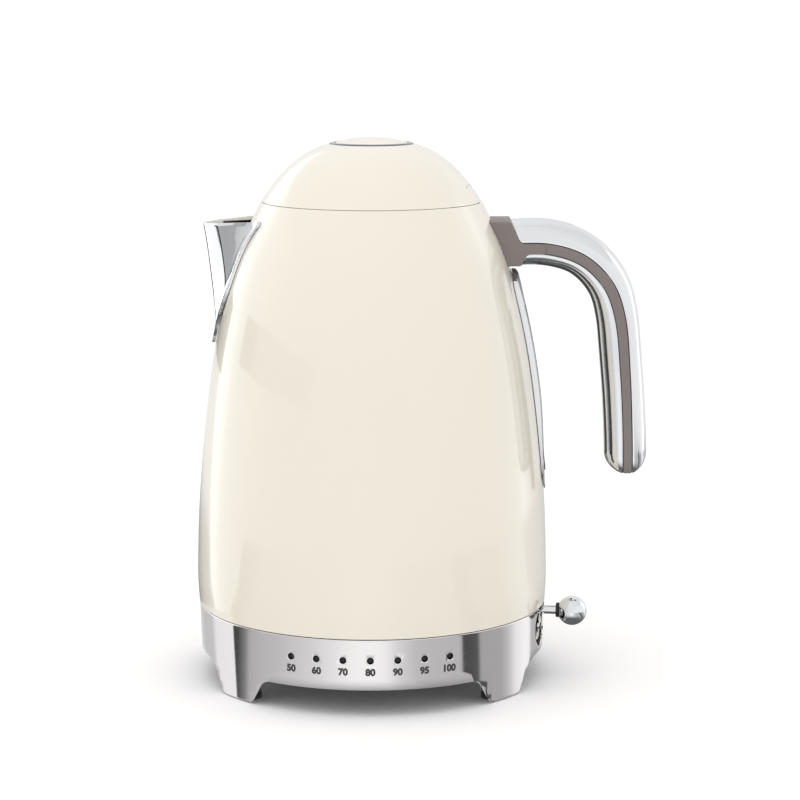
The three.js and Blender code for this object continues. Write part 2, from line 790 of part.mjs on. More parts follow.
function jugScrew(azimuth, r, z0, z1) {
  return rod(around(jugScrewCircleR, azimuth, z0), around(jugScrewCircleR, azimuth, z1), r, 10);
}

const jugScrewAzimuths = [60, 180, 300];
const jugScrewNames = ['right', 'rear', 'left'];

function makeHeater() {
  const plateR = radiusAt(jugPoints(-skinWall), heaterZ - heaterRim) - gap;
  const under = heaterZ - heaterPlate;
  let plate = turned([
    [0, under], [plateR - sheet, under], [plateR - sheet, heaterZ - heaterRim],
    [plateR, heaterZ - heaterRim], [plateR, heaterZ], [0, heaterZ],
  ]);
  for (const azimuth of jugScrewAzimuths) {
    plate = plate.add(jugScrew(azimuth, screwR + 1.9, housingZ + housingWall + 6, under + 0.5));
    plate = plate.subtract(jugScrew(azimuth, screwR + gap, housingZ, under - 1));
  }
  place('heater_plate', plate, steel);

  const centreZ = under - gap - elementR;
  const [first, last] = [30, 330];
  const steps = 24;
  const points = [];
  for (let i = 0; i <= steps; i += 1) {
    points.push(new THREE.Vector3(...around(elementRingR, first + (last - first) * i / steps, centreZ)));
  }
  const ring = swept(points, elementR, 8, steps);
  const legs = [first, last].map((azimuth) => rod(
    around(elementRingR, azimuth, centreZ - 8), around(elementRingR, azimuth, centreZ), elementR / 2, 12));
  place('heating_element', joined(ring, ...legs), steel);

  place('temperature_sensor', rod([20, -24, under - 9], [20, -24, under - gap], 3.4, 20), brass);
  place('dry_boil_cutout', joined(
    block(-16, 14, -11, 11, couplerTopZ + 1.5, under - gap),
    block(-21, -10, 5, 9, couplerTopZ + 3, under - 4),
  ), black);
}

function makeHousing() {
  const floorTop = housingZ + housingWall;
  const wallTop = heaterZ - 10;
  const collarInner = couplerR + runningGap;
  const collarOuter = collarInner + housingWall;
  const wallInner = housingR - housingWall;
  const headSeat = housingZ + 2.6;
  let housing = turned([
    [collarInner, housingZ], [housingR, housingZ], [housingR, wallTop], [wallInner, wallTop],
    [wallInner, floorTop], [collarOuter, floorTop], [collarOuter, couplerTopZ], [collarInner, couplerTopZ],
  ]);
  for (const azimuth of jugScrewAzimuths) {
    housing = housing.add(jugScrew(azimuth, screwHeadR + 1.6, floorTop - 0.5, floorTop + 3.2));
    housing = housing.subtract(jugScrew(azimuth, screwR + gap, housingZ - 1, floorTop + 5));
    housing = housing.subtract(jugScrew(azimuth, screwHeadR + gap, housingZ - 1, headSeat));
  }
  place('bottom_housing', housing, black);
  jugScrewAzimuths.forEach((azimuth, i) => {
    place(`housing_screw_${jugScrewNames[i]}`, joined(
      jugScrew(azimuth, screwHeadR, housingZ + 0.6, headSeat - gap),
      jugScrew(azimuth, screwR, headSeat - 0.6, heaterZ - heaterPlate - 2),
    ), steel);
  });
}

// ---------- cordless connector ----------


function makeConnectors() {
  const flangeTop = deckZ - 0.2;
  const flangeFoot = deckZ - 3;
  const postFoot = deckZ - 7;
  place('base_connector', turned([
    [0, postFoot], [postR - postStep, postFoot], [postR - postStep, flangeFoot], [postR, flangeFoot],
    [postR, flangeTop],
    [contactRingOuter, flangeTop], [contactRingOuter, contactTop], [contactRingInner, contactTop],
    [contactRingInner, flangeTop], [contactPinR, flangeTop],
    [contactPinR, contactTop - 1], [0, contactTop - 1],
  ], smallSides), black);
  const foot = housingZ;
  const roof = contactTop + 1;
  const pinHole = contactPinR + runningGap;
  const inner = contactRingInner - gap - gap;
  const outer = contactRingOuter + gap + gap;
  place('jug_connector', turned([
    [0, roof], [pinHole, roof], [pinHole, foot], [inner, foot], [inner, roof], [outer, roof],
    [outer, foot], [couplerR, foot], [couplerR, couplerTopZ], [0, couplerTopZ],
  ], smallSides), black);
}

// ---------- base ----------

const trayTop = trayZ + trayThick;
const skirtR = (z) => baseFootR + (baseTopR - baseFootR) * (z - skirtFootZ) / (baseTopZ - skirtFootZ);

// the lever's own frame has x along its stem; this turns a body from that frame into place
const turnedInPlace = (body) => body.rotate([0, 0, leverAzimuth]);

function archFront() {
  const shape = new THREE.Shape();
  const x = footInnerX;
  shape.moveTo(-x, -5);
  shape.lineTo(-x, skirtFootZ);
  shape.lineTo(-x + 4.6, frontArchZ - 5);
  shape.quadraticCurveTo(-x + 6.6, frontArchZ, -x + 12, frontArchZ);
  shape.lineTo(x - 12, frontArchZ);
  shape.quadraticCurveTo(x - 6.6, frontArchZ, x - 4.6, frontArchZ - 5);
  shape.lineTo(x, skirtFootZ);
  shape.lineTo(x, -5);
  return slabXZ(shape, 2 * baseTopR);
}

function archSide() {
  const shape = new THREE.Shape();
  const y = footInnerY;
  shape.moveTo(-y, -5);
  shape.lineTo(-y, skirtFootZ);
  shape.lineTo(-y + 8, sideArchZ - 6);
  shape.quadraticCurveTo(-y + 13, sideArchZ, -y + 23, sideArchZ);
  shape.lineTo(y - 23, sideArchZ);
  shape.quadraticCurveTo(y - 13, sideArchZ, y - 8, sideArchZ - 6);
  shape.lineTo(y, skirtFootZ);
  shape.lineTo(y, -5);
  return slabYZ(shape, -2 * baseTopR, 2 * baseTopR);
}

function leverOpening() {
  const shape = new THREE.Shape();
  shape.absellipse(0, slotZ, slotHalfWidth, slotHalfHeight, 0, 2 * Math.PI, false);
  return turnedInPlace(slabYZ(shape, baseFootR - 10, baseTopR + 20));
}

const scaleAzimuths = [];
for (let i = 0; i < scaleCount; i += 1) scaleAzimuths.push((i - (scaleCount - 1) / 2) * scaleStep);
const leverWayHalf = slotHalfWidth + 2;

function makeSkirt() {
  const inner = (z) => skirtR(z) - skirtWall;
  const lipZ = ledgeZ - 1.6;
  const ring = turned([
    [skirtR(skirtFootZ), skirtFootZ], [baseTopR, baseTopZ], [inner(baseTopZ), baseTopZ],
    [inner(ledgeZ), ledgeZ], [inner(ledgeZ) - ledgeWidth, ledgeZ], [inner(ledgeZ) - ledgeWidth, lipZ],
    [inner(lipZ), lipZ - ledgeWidth * 0.6], [inner(skirtFootZ), skirtFootZ],
  ]);
  const lamps = scaleAzimuths.map((azimuth) => rod(
    around(baseTopR - 20, azimuth, scaleZ), around(baseTopR + 10, azimuth, scaleZ), lampR, 12));
  const ledgeGap = block(baseTopR - 18, inner(ledgeZ) - 0.01,
    -leverWayHalf, leverWayHalf, ledgeZ - 9, ledgeZ + 1);
  const inlet = rod([0, baseTopR - 18, glandZ], [0, baseTopR + 12, glandZ], glandR + gap, 24);
  const ways = [archFront(), archSide(), leverOpening(), turnedInPlace(ledgeGap), inlet];
  place('base_skirt', cut(ring, ...ways, ...lamps), satin);
}

function makeDeck() {
  const rimR = skirtR(ledgeZ) - skirtWall - gap;
  const under = deckZ - 2;
  const rimFoot = ledgeZ + gap;
  const rimWall = 2.2;
  let deck = turned([
    [postR + gap, under], [rimR - rimWall, under], [rimR - rimWall, rimFoot], [rimR, rimFoot],
    [rimR, deckZ - 1], [rimR - 1, deckZ], [postR + gap, deckZ],
  ]);
  for (const azimuth of trayScrewAzimuths) {
    deck = deck.add(trayPost(azimuth, screwHeadR + 1.2, trayTop + gap, under + 0.5));
    deck = deck.subtract(trayPost(azimuth, screwR + gap, trayTop, trayTop + 14));
  }
  const seat = tube(postR - postStep + gap, postR + 5, deckZ - 6, under + 0.5, smallSides);
  const relief = disc(postR + gap, deckZ - 3 - gap, deckZ + 1, smallSides);
  const leverWay = turnedInPlace(block(baseTopR - 14, baseTopR + 12,
    -leverWayHalf, leverWayHalf, ledgeZ - 2, under - 0.01));
  place('base_deck', cut(joined(deck, seat), relief, leverWay), taupe);
}

const trayScrewAzimuths = [20, 122, 200, 302];
const trayScrewNames = ['front_right', 'rear_right', 'rear_left', 'front_left'];

function trayPost(azimuth, r, z0, z1) {
  return rod(around(trayScrewCircleR, azimuth, z0), around(trayScrewCircleR, azimuth, z1), r, 10);
}

const padAzimuths = [padAzimuth, 180 - padAzimuth, 180 + padAzimuth, 360 - padAzimuth];
const padNames = ['front_right', 'rear_right', 'rear_left', 'front_left'];
const earX0 = leverPivotR - 5;
const earX1 = leverPivotR + 5;

function makeTray() {
  const trayR = skirtR(trayZ) - skirtWall - gap;
  let tray = disc(trayR, trayZ, trayTop, wideSides);
  const padPoint = (azimuth, z) => around(padCircleR, azimuth, z);
  for (const azimuth of padAzimuths) {
    tray = tray.add(rod(padPoint(azimuth, padThick + gap), padPoint(azimuth, trayTop - 0.5), padR, 16));
    const stemHole = rod(padPoint(azimuth, 0), padPoint(azimuth, padStemTop + 0.4), padStemR + gap, 10);
    tray = tray.subtract(stemHole);
  }
  for (const azimuth of trayScrewAzimuths) {
    tray = tray.subtract(trayPost(azimuth, screwR + gap, 0, deckZ));
  }
  for (const side of [-1, 1]) {
    const near = side * (hubHalfWidth + runningGap);
    const far = side * (hubHalfWidth + runningGap + earThick);
    const ear = block(earX0, earX1, Math.min(near, far), Math.max(near, far), trayTop - 0.5, leverZ + 3.4);
    tray = tray.add(turnedInPlace(ear));
  }
  const pinHole = rod([leverPivotR, -30, leverZ], [leverPivotR, 30, leverZ], pivotPinR + 0.2, 20);
  tray = tray.subtract(turnedInPlace(pinHole));
  for (const [x, y] of boardPosts) tray = tray.add(rod([x, y, trayTop - 0.5], [x, y, boardZ - gap], 3, 12));
  place('base_tray', tray, black);

  padAzimuths.forEach((azimuth, i) => {
    place(`foot_pad_${padNames[i]}`, joined(
      rod(padPoint(azimuth, 0), padPoint(azimuth, padThick), padR, 16),
      rod(padPoint(azimuth, padThick - 0.5), padPoint(azimuth, padStemTop), padStemR, 10),
    ), rubber);
  });
  trayScrewAzimuths.forEach((azimuth, i) => {
    place(`tray_screw_${trayScrewNames[i]}`, joined(
      trayPost(azimuth, screwHeadR, trayZ - gap - 1.8, trayZ - gap),
      trayPost(azimuth, screwR, trayZ - gap - 0.5, trayTop + 12),
    ), steel);
  });
}

// ---------- electronics in the base ----------

const boardZ = 20;
const boardX0 = -66;
const boardX1 = -18;
const boardHalf = 26;
const boardPosts = [boardX0 + 5, boardX1 - 5].flatMap((x) => [[x, -boardHalf + 5], [x, boardHalf - 5]]);

function makeElectronics() {
  place('control_board', joined(
    block(boardX0, boardX1, -boardHalf, boardHalf, boardZ, boardZ + 1.6),
    block(boardX0 + 8, boardX0 + 18, -8, 8, boardZ + 1, boardZ + 4),
    block(boardX1 - 12, boardX1 - 4, 10, 22, boardZ + 1, boardZ + 8),
  ), green);
  place('relay', block(boardX1 - 22, boardX1 - 4, -20, -5, boardZ + 1.6 + gap, boardZ + 16), black);
  place('transformer', joined(
    block(boardX0 + 4, boardX0 + 26, 9.5, 23, boardZ + 1.6 + gap, boardZ + 14),
    block(boardX0 + 9, boardX0 + 21, 8.5, 24, boardZ + 3, boardZ + 12.5),
  ), steel);

  const bandOuter = skirtR(scaleZ) - skirtWall - gap;
  const guideThick = 2.4;
  const half = (scaleCount - 1) / 2 * scaleStep + 4;
  const far = 100;
  const farHalf = Math.tan(THREE.MathUtils.degToRad(half)) * far;
  const corners = [[0, 0], [farHalf, -far], [-farHalf, -far]].map(([x, y]) => new THREE.Vector2(x, y));
  const wedge = new THREE.ExtrudeGeometry(new THREE.Shape(corners), { depth: 60, bevelEnabled: false });
  const sector = solid(wedge);
  let guide = tube(bandOuter - guideThick, bandOuter, scaleZ - 2.6, scaleZ + 2).intersect(sector);
  for (const azimuth of scaleAzimuths) {
    const back = around(bandOuter - 1, azimuth, scaleZ);
    const face = around(skirtR(scaleZ) - 0.25, azimuth, scaleZ);
    guide = guide.add(rod(back, face, lampR - gap, 10));
  }
  place('lamp_light_guide', guide, clear);

  const ledR = bandOuter - guideThick - gap;
  const backY = -ledR * Math.cos(THREE.MathUtils.degToRad(half)) + 4;
  const boardReach = ledR * Math.sin(THREE.MathUtils.degToRad(half)) - 0.6;
  let board = block(-boardReach, boardReach, backY, backY + 1.6, trayTop + gap, scaleZ + 4);
  for (const azimuth of scaleAzimuths) {
    const x = around(ledR, azimuth)[0];
    board = board.add(block(x - 1.5, x + 1.5, backY - 1.2, backY + 0.2, scaleZ - 1.5, scaleZ + 1.5));
  }
  place('lamp_board', board, green);
}

function makeGland() {
  const faceY = skirtR(glandZ) - 0.4;
  const insideY = skirtR(glandZ) - skirtWall - 0.8;
  const bush = joined(
    rod([0, insideY - 8, glandZ], [0, faceY, glandZ], glandR, 24),
    rod([0, insideY - 3.5, glandZ], [0, insideY - 0.8, glandZ], glandR + 2.3, 24),
  );
  const cordWay = rod([0, baseTopR - 28, glandZ], [0, baseTopR + 12, glandZ], cordR, 24);
  place('cord_gland', cut(bush, cordWay), rubber);
}

// ---------- power lever ----------

function makeLever() {
  const pivot = (y, r, grow = 0) => rod([leverPivotR, -y, leverZ], [leverPivotR, y, leverZ], r + grow, 24);
  const armFoot = leverZ - 4;
  const armEnd = leverPivotR + shieldR - 1.3 - gap;
  const neckEnd = ballReach - ballR + 1.2;
  const stem = (grow) => rod([armEnd - 14, 0, leverZ], [neckEnd, 0, leverZ], leverStemR + grow, 20);
  const nose = pivot(armHalfWidth, armEnd - leverPivotR);
  const arm = joined(
    pivot(hubHalfWidth, hubR),
    block(leverPivotR, armEnd + 2, -armHalfWidth, armHalfWidth, armFoot, leverZ + 3.4).intersect(nose),
  );
  place('lever_arm', turnedInPlace(cut(arm, pivot(30, pivotPinR + 0.2), stem(gap))), taupe);

  // a curved shutter about the pivot keeps the slot closed as the lever moves
  const ring = cut(pivot(shieldHalfWidth, shieldR), pivot(30, shieldR - 1.3));
  const upper = THREE.MathUtils.degToRad(5.5);
  const lower = THREE.MathUtils.degToRad(-26);
  const far = 60;
  const wedge = slabXZ([
    [leverPivotR, leverZ], [leverPivotR + far * Math.cos(lower), leverZ + far * Math.sin(lower)],
    [leverPivotR + far * Math.cos(upper), leverZ + far * Math.sin(upper)],
  ], 20);
  place('lever_shield', turnedInPlace(cut(ring.intersect(wedge), stem(gap))), satin);

  const neck = rod([neckEnd - 1.8, 0, leverZ], [neckEnd, 0, leverZ], leverNeckR, 24);
  place('lever_stem', turnedInPlace(joined(stem(0), neck)), chrome);
  const sphere = new THREE.SphereGeometry(ballR, 18, 12).rotateX(Math.PI / 2);
  const socket = rod([neckEnd - 4.2, 0, leverZ], [neckEnd + gap, 0, leverZ], leverNeckR + gap, 24);
  place('lever_ball', turnedInPlace(cut(solid(sphere.translate(ballReach, 0, leverZ)), socket)), chrome);
  place('lever_pivot_pin', turnedInPlace(pivot(hubHalfWidth + runningGap + earThick, pivotPinR)), steel);

  const spring = coil({
    x: springX, y: 0, z0: trayTop + gap, z1: armFoot - gap, r: 2.8, wireR: 0.5, turns: 6,
  });
  place('lever_return_spring', turnedInPlace(spring), steel);
  const plungerX = switchX + switchLength / 2;
  const armDrop = Math.sin(THREE.MathUtils.degToRad(leverTravel)) * (plungerX - leverPivotR);
  place('start_switch', turnedInPlace(joined(
    block(switchX, switchX + switchLength, -3.2, 3.2, trayTop + gap, trayTop + 8),
    block(plungerX - 1.5, plungerX + 1.5, -1.2, 1.2, trayTop + 7, armFoot - armDrop - 0.8),
  )), black);
}

makeBodyShell();
makeSpout();
makeFilter();
makeLidShell();
makeLidInnerCover();
makeLidGasket();
makeLatch();
makeButtonSpring(makeLidButton());
makeHinge();
makeHandle();
makeGauge();
makeHeater();
makeHousing();
makeConnectors();
makeSkirt();
makeDeck();
makeTray();
makeElectronics();
makeGland();
makeLever();

// stand the assembly so that the origin is at the middle of its box, on the worktop
const box = new THREE.Box3().setFromObject(kettle);
const root = new THREE.Group();
kettle.position.x = -(box.min.x + box.max.x) / 2;
kettle.position.y = -(box.min.y + box.max.y) / 2;
root.add(kettle);
root.updateMatrixWorld(true);

export default root;
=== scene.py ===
# Electric jug kettle on its round base. Metres, +Z up, spout to -X, handle to +X, scale to -Y.
import json
import math
import bpy
from mathutils import Matrix, Vector


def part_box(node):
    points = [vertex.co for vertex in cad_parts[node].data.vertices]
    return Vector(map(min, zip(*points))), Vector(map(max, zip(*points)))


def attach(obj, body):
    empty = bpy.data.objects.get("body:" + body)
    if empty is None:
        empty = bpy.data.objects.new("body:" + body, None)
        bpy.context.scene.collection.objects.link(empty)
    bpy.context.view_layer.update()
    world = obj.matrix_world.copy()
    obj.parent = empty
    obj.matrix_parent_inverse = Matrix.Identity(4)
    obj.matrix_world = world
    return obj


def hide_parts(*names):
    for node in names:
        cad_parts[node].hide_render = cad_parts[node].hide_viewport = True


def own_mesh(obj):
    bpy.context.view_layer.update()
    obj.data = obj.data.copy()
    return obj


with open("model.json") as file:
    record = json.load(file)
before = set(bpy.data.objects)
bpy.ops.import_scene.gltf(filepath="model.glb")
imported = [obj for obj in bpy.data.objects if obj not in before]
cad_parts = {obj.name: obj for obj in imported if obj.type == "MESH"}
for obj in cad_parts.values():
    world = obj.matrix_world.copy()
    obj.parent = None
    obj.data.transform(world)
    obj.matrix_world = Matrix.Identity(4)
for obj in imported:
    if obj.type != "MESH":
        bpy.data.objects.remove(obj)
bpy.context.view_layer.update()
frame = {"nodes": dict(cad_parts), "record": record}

mm = 0.001
skirtLow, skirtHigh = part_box("base_skirt")
axisX = (skirtLow.x + skirtHigh.x) / 2  # the jug and the base are round about this line


# modelling helpers take lengths in millimetres, from the kettle's axis and the worktop
def spot(x, y, z):
    return (axisX + x * mm, y * mm, z * mm)


def closeUp():
    bpy.ops.object.mode_set(mode="OBJECT")


def clearSelection():
    if bpy.context.mode != "OBJECT":
        closeUp()
    bpy.ops.object.select_all(action="DESELECT")


def pick(*pieces):
    clearSelection()
    for piece in pieces:
        piece.select_set(True)
    bpy.context.view_layer.objects.active = pieces[0]


# opens a piece for editing, with all of it selected or nothing
def openUp(piece, action="SELECT"):
    pick(piece)
    bpy.ops.object.mode_set(mode="EDIT")
    bpy.ops.mesh.select_all(action=action)


def pull(x, y, z):
    bpy.ops.mesh.extrude_region_move(TRANSFORM_OT_translate={"value": (x, y, z)})


# a new primitive, the only thing selected
def added(name, kind, **settings):
    clearSelection()
    getattr(bpy.ops.mesh, f"primitive_{kind}_add")(**settings)
    piece = bpy.context.object
    piece.name = piece.data.name = name
    return piece


# corners chosen by where they are, in millimetres from the axis; leaves edit mode on
def choose(piece, test):
    openUp(piece, "DESELECT")
    bpy.ops.mesh.select_mode(type="VERT")
    closeUp()
    for corner in piece.data.vertices:
        x, y, z = corner.co
        corner.select = test((x - axisX) / mm, y / mm, z / mm)
    bpy.ops.object.mode_set(mode="EDIT")


# stretches the chosen corners about a point
def stretched(piece, value, centre, test=lambda x, y, z: True):
    choose(piece, test)
    bpy.ops.transform.resize(value=value, center_override=spot(*centre))
    closeUp()


def bevelled(piece, width, segments, test):
    choose(piece, test)
    bpy.ops.mesh.bevel(offset=width * mm, segments=segments, affect="EDGES")
    closeUp()


# puts an object's place, turn and size into its mesh
def settle(piece):
    pick(piece)
    bpy.ops.object.transform_apply(location=True, rotation=True, scale=True)
    return piece


def facesOutward(piece, weld=0.00001):
    openUp(piece)
    bpy.ops.mesh.remove_doubles(threshold=weld)
    bpy.ops.mesh.normals_make_consistent(inside=False)
    closeUp()
    return piece


def applied(piece, kind, **settings):
    pick(piece)
    modifier = piece.modifiers.new(kind.title(), kind)
    for key, value in settings.items():
        setattr(modifier, key, value)
    bpy.ops.object.modifier_apply(modifier=modifier.name)
    return piece


def cutAway(piece, *cutters, operation="DIFFERENCE"):
    for cutter in cutters:
        applied(piece, "BOOLEAN", object=cutter, operation=operation, solver="EXACT")
        bpy.data.objects.remove(cutter)
    return piece


def addOn(piece, part):
    return cutAway(piece, part, operation="UNION")


def keepInside(piece, volume):
    return cutAway(piece, volume, operation="INTERSECT")


def eased(piece, width, segments=2, angle=40):
    return applied(piece, "BEVEL", width=width * mm, segments=segments, limit_method="ANGLE",
                   angle_limit=math.radians(angle), use_clamp_overlap=True)


# a profile of (radius, height, rounding) with its corners rounded
def rounded(profile, closed=False, steps=4):
    line = []
    count = len(profile)
    for i, corner in enumerate(profile):
        inside = closed or 0 < i < count - 1
        if len(corner) < 3 or not inside or not corner[2]:
            line.append(tuple(corner[:2]))
            continue
        here = Vector(corner[:2])
        back = Vector(profile[i - 1][:2]) - here
        ahead = Vector(profile[(i + 1) % count][:2]) - here
        reach = corner[2] / math.tan(back.angle(ahead) / 2)
        reach = min(reach, 0.49 * back.length, 0.49 * ahead.length)
        start, end = here + back.normalized() * reach, here + ahead.normalized() * reach
        for k in range(steps + 1):
            t = k / steps
            line.append(tuple(start * (1 - t) ** 2 + here * 2 * t * (1 - t) + end * t ** 2))
    return line


# a round piece: a circle pulled along its rounded profile ring by ring; a radius of 0 closes it, and a
# looped profile closes on itself
def turned(name, profile, sides=96, loop=False, centre=(0, 0)):
    profile = rounded(profile, loop)
    tip = profile.pop(0) if profile[0][0] == 0 else None
    r, z = profile[0]
    piece = added(name, "circle", vertices=sides, radius=r * mm, location=spot(*centre, z))
    openUp(piece)
    for nextR, nextZ in profile[1:]:
        pull(0, 0, (nextZ - z) * mm)
        if nextR == 0:
            bpy.ops.mesh.merge(type="CENTER")
            break
        k = nextR / r
        bpy.ops.transform.resize(value=(k, k, 1), center_override=spot(*centre, nextZ))
        r, z = nextR, nextZ
    if tip:
        bpy.ops.mesh.select_all(action="DESELECT")
        closeUp()
        for corner in piece.data.vertices[:sides]:
            corner.select = True
        bpy.ops.object.mode_set(mode="EDIT")
        pull(0, 0, (tip[1] - profile[0][1]) * mm)
        bpy.ops.mesh.merge(type="CENTER")
    if loop:
        bpy.ops.mesh.select_all(action="DESELECT")
        bpy.ops.mesh.select_non_manifold(extend=False)
        bpy.ops.mesh.bridge_edge_loops()
    closeUp()
    return facesOutward(settle(piece))


# a flat outline of (x, z) pulled along Y to both sides of the middle
def prism(name, outline, halfWidth, y=0, layers=1):
    piece = added(name, "circle", vertices=len(outline), radius=1, fill_type="NGON")
    for corner, (x, z) in zip(piece.data.vertices, outline):
        corner.co = spot(x, y - halfWidth, z)
    openUp(piece)
    for _ in range(layers):
        pull(0, 2 * halfWidth / layers * mm, 0)
    closeUp()
    return facesOutward(piece)


# a closed tube in layers, and its corners in order, to be put in their places
def layered(name, around, layers):
    piece = added(name, "circle", vertices=around, radius=1, fill_type="NGON")
    openUp(piece)
    for _ in range(layers):
        pull(0, 0, 1)
    closeUp()
    return piece, sorted(piece.data.vertices, key=lambda c: (round(c.co.z), math.atan2(c.co.y, c.co.x)))


def boxed(name, low, high):
    piece = added(name, "cube", size=1, location=spot(*[(a + b) / 2 for a, b in zip(low, high)]))
    piece.scale = [(b - a) * mm for a, b in zip(low, high)]
    return settle(piece)


def cylinder(name, radius, depth, centre, axis="Z", sides=48):
    turn = {"Z": (0, 0, 0), "Y": (math.pi / 2, 0, 0), "X": (0, math.pi / 2, 0)}[axis]
    return settle(added(name, "cylinder", vertices=sides, radius=radius * mm, depth=depth * mm,
                        location=spot(*centre), rotation=turn))


# turns a piece about an upright line through a point, in degrees
def swung(piece, degrees, x=0, y=0):
    turn = Matrix.Translation(spot(x, y, 0)) @ Matrix.Rotation(math.radians(degrees), 4, "Z")
    piece.matrix_world = turn @ Matrix.Translation(-Vector(spot(x, y, 0))) @ piece.matrix_world
    return settle(piece)


# a new object from a copy of a mesh
def twin(piece, name):
    other = bpy.data.objects.new(name, piece.data.copy())
    other.data.name = name
    bpy.context.collection.objects.link(other)
    return other


def joinedUp(first, *others):
    pick(first, *others)
    bpy.ops.object.join()
    return first


# a smooth line through points
def smoothLine(points, steps):
    line = []
    last = len(points) - 1
    for i in range(last):
        before, start, end = (Vector(points[max(i + k, 0)]) for k in (-1, 0, 1))
        after = Vector(points[min(i + 2, last)])
        for k in range(steps):
            t = k / steps
            line.append(0.5 * (2 * start + (end - before) * t
                               + (2 * before - 5 * start + 4 * end - after) * t ** 2
                               + (3 * start - before - 3 * end + after) * t ** 3))
    line.append(Vector(points[-1]))
    return line


# a line of (radius, height) moved out sideways
def moved(line, out):
    result = []
    for i, here in enumerate(line):
        along = line[min(i + 1, len(line) - 1)] - line[max(i - 1, 0)]
        along.normalize()
        result.append(Vector((here.x + out * along.y, here.y - out * along.x)))
    return result


def radiusAt(line, z):
    for low, high in zip(line, line[1:]):
        if low.y <= z <= high.y:
            return low.x + (high.x - low.x) * (z - low.y) / (high.y - low.y)
    return line[0].x if z < line[0].y else line[-1].x


def smoothStep(value, low, high):
    t = min(max((value - low) / (high - low), 0), 1)
    return t * t * (3 - 2 * t)


# gives a finished piece its shading, the usual finish of its record slot unless another look is given, and
# its body, and hides the CAD nodes it stands for
def finished(piece, body, slot, *nodes, look=None, shade=35):
    if shade:
        pick(piece)
        bpy.ops.object.shade_smooth_by_angle(angle=math.radians(shade))
    piece.data.materials.clear()
    piece.data.materials.append(look or finishes[slot])
    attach(piece, body)
    if nodes:
        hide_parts(*nodes)
    return piece


# wraps a socket so that sums of values can be written as expressions
class Signal:
    def __init__(self, tree, socket=None):
        self.tree = tree
        self.socket = socket

    # adds any node: its settings first, then its inputs by name or number
    def node(self, kind, settings=None, inputs=None, output=0):
        made = self.tree.nodes.new(kind)
        for key, value in (settings or {}).items():
            if key == "stops":
                ramp = made.color_ramp
                while len(ramp.elements) < len(value):
                    ramp.elements.new(0.5)
                for stop, (place, colour) in zip(ramp.elements, value):
                    stop.position, stop.color = place, colour
            else:
                setattr(made, key, value)
        for key, value in (inputs or {}).items():
            if isinstance(value, Signal):
                self.tree.links.new(value.socket, made.inputs[key])
            else:
                made.inputs[key].default_value = value
        return Signal(self.tree, made.outputs[output])

    def maths(self, operation, first, second=0.0):
        return self.node("ShaderNodeMath", {"operation": operation}, {0: first, 1: second})

    def __add__(self, other):
        return self.maths("ADD", self, other)

    def __sub__(self, other):
        return self.maths("SUBTRACT", self, other)

    def __rsub__(self, other):
        return self.maths("SUBTRACT", other, self)

    def __mul__(self, other):
        return self.maths("MULTIPLY", self, other)

    def __truediv__(self, other):
        return self.maths("DIVIDE", self, other)

    def __lt__(self, other):
        return self.maths("LESS_THAN", self, other)

    __radd__ = __add__
    __rmul__ = __mul__


def rgb(red, green, blue):
    linear = [((c / 255 + 0.055) / 1.055) ** 2.4 if c > 10 else c / 255 / 12.92 for c in (red, green, blue)]
    return (*linear, 1)


# a material with one surface shader; returns it with a starting signal and the shader's inputs
def material(name, **settings):
    made = bpy.data.materials.new(name)
    made.use_nodes = True
    tree = made.node_tree
    shader = tree.nodes["Principled BSDF"]
    for key, value in settings.items():
        shader.inputs[key.replace("_", " ")].default_value = value
    return made, Signal(tree), shader


def place(start, scale=(1, 1, 1)):
    coordinates = start.node("ShaderNodeTexCoord", output="Object")
    return start.node("ShaderNodeMapping", {}, {"Vector": coordinates, "Scale": scale,
                                                "Location": (-axisX * scale[0], 0, 0)})


def noise(start, scale, detail=3.0, stretch=(1, 1, 1), roughness=0.5):
    return start.node("ShaderNodeTexNoise", {}, {"Vector": place(start, stretch), "Scale": scale,
                                                 "Detail": detail, "Roughness": roughness})


def spread(start, value, low, high):
    return start.node("ShaderNodeMapRange", {}, {"Value": value, "From Min": 0.3, "From Max": 0.7,
                                                 "To Min": low, "To Max": high})


def tinted(start, value, first, second):
    return start.node("ShaderNodeMix", {"data_type": "RGBA"}, {0: value, 6: first, 7: second}, 2)


def bumped(start, height, strength, distance=0.0001):
    return start.node("ShaderNodeBump", {}, {"Height": height, "Strength": strength, "Distance": distance})


def feed(start, shader, **signals):
    for key, value in signals.items():
        start.tree.links.new(value.socket, shader.inputs[key.replace("_", " ")])


# a finish whose colour, roughness and fine relief each follow noises of (scale, detail, stretch)
def makeFinish(name, colours, rough, relief=None, **settings):
    made, start, shader = material(name, **settings)
    cloud, dark, light = colours
    feed(start, shader,
         Base_Color=tinted(start, noise(start, *cloud), rgb(*dark), rgb(*light)),
         Roughness=sum(spread(start, noise(start, *texture), low, high) for texture, low, high in rough))
    if relief:
        texture, strength = relief
        feed(start, shader, Normal=bumped(start, noise(start, *texture), strength))
    return made


# polished plate with faint wipe marks
def makeChrome(name, dark, light):
    haze, wipe = (40, 5), (120, 2, (1, 1, 0.08))
    return makeFinish(name, (haze, dark, light), [(haze, 0.05, 0.09), (wipe, 0.0, 0.025)],
                      ((350, 2), 0.02), Metallic=1.0, Roughness=0.06)


# moulded plastic with a fine spark-eroded grain
def makePlastic(name, dark, light, rough, grain=1400):
    return makeFinish(name, ((30, 4), dark, light), [((grain, 3), rough - 0.08, rough + 0.08)],
                      ((grain, 3), 0.25), Roughness=rough, Specular_IOR_Level=0.4)


brushed, turnedMarks = (900, 2, (0.06, 0.06, 1.5)), (500, 3, (1, 1, 0.2))
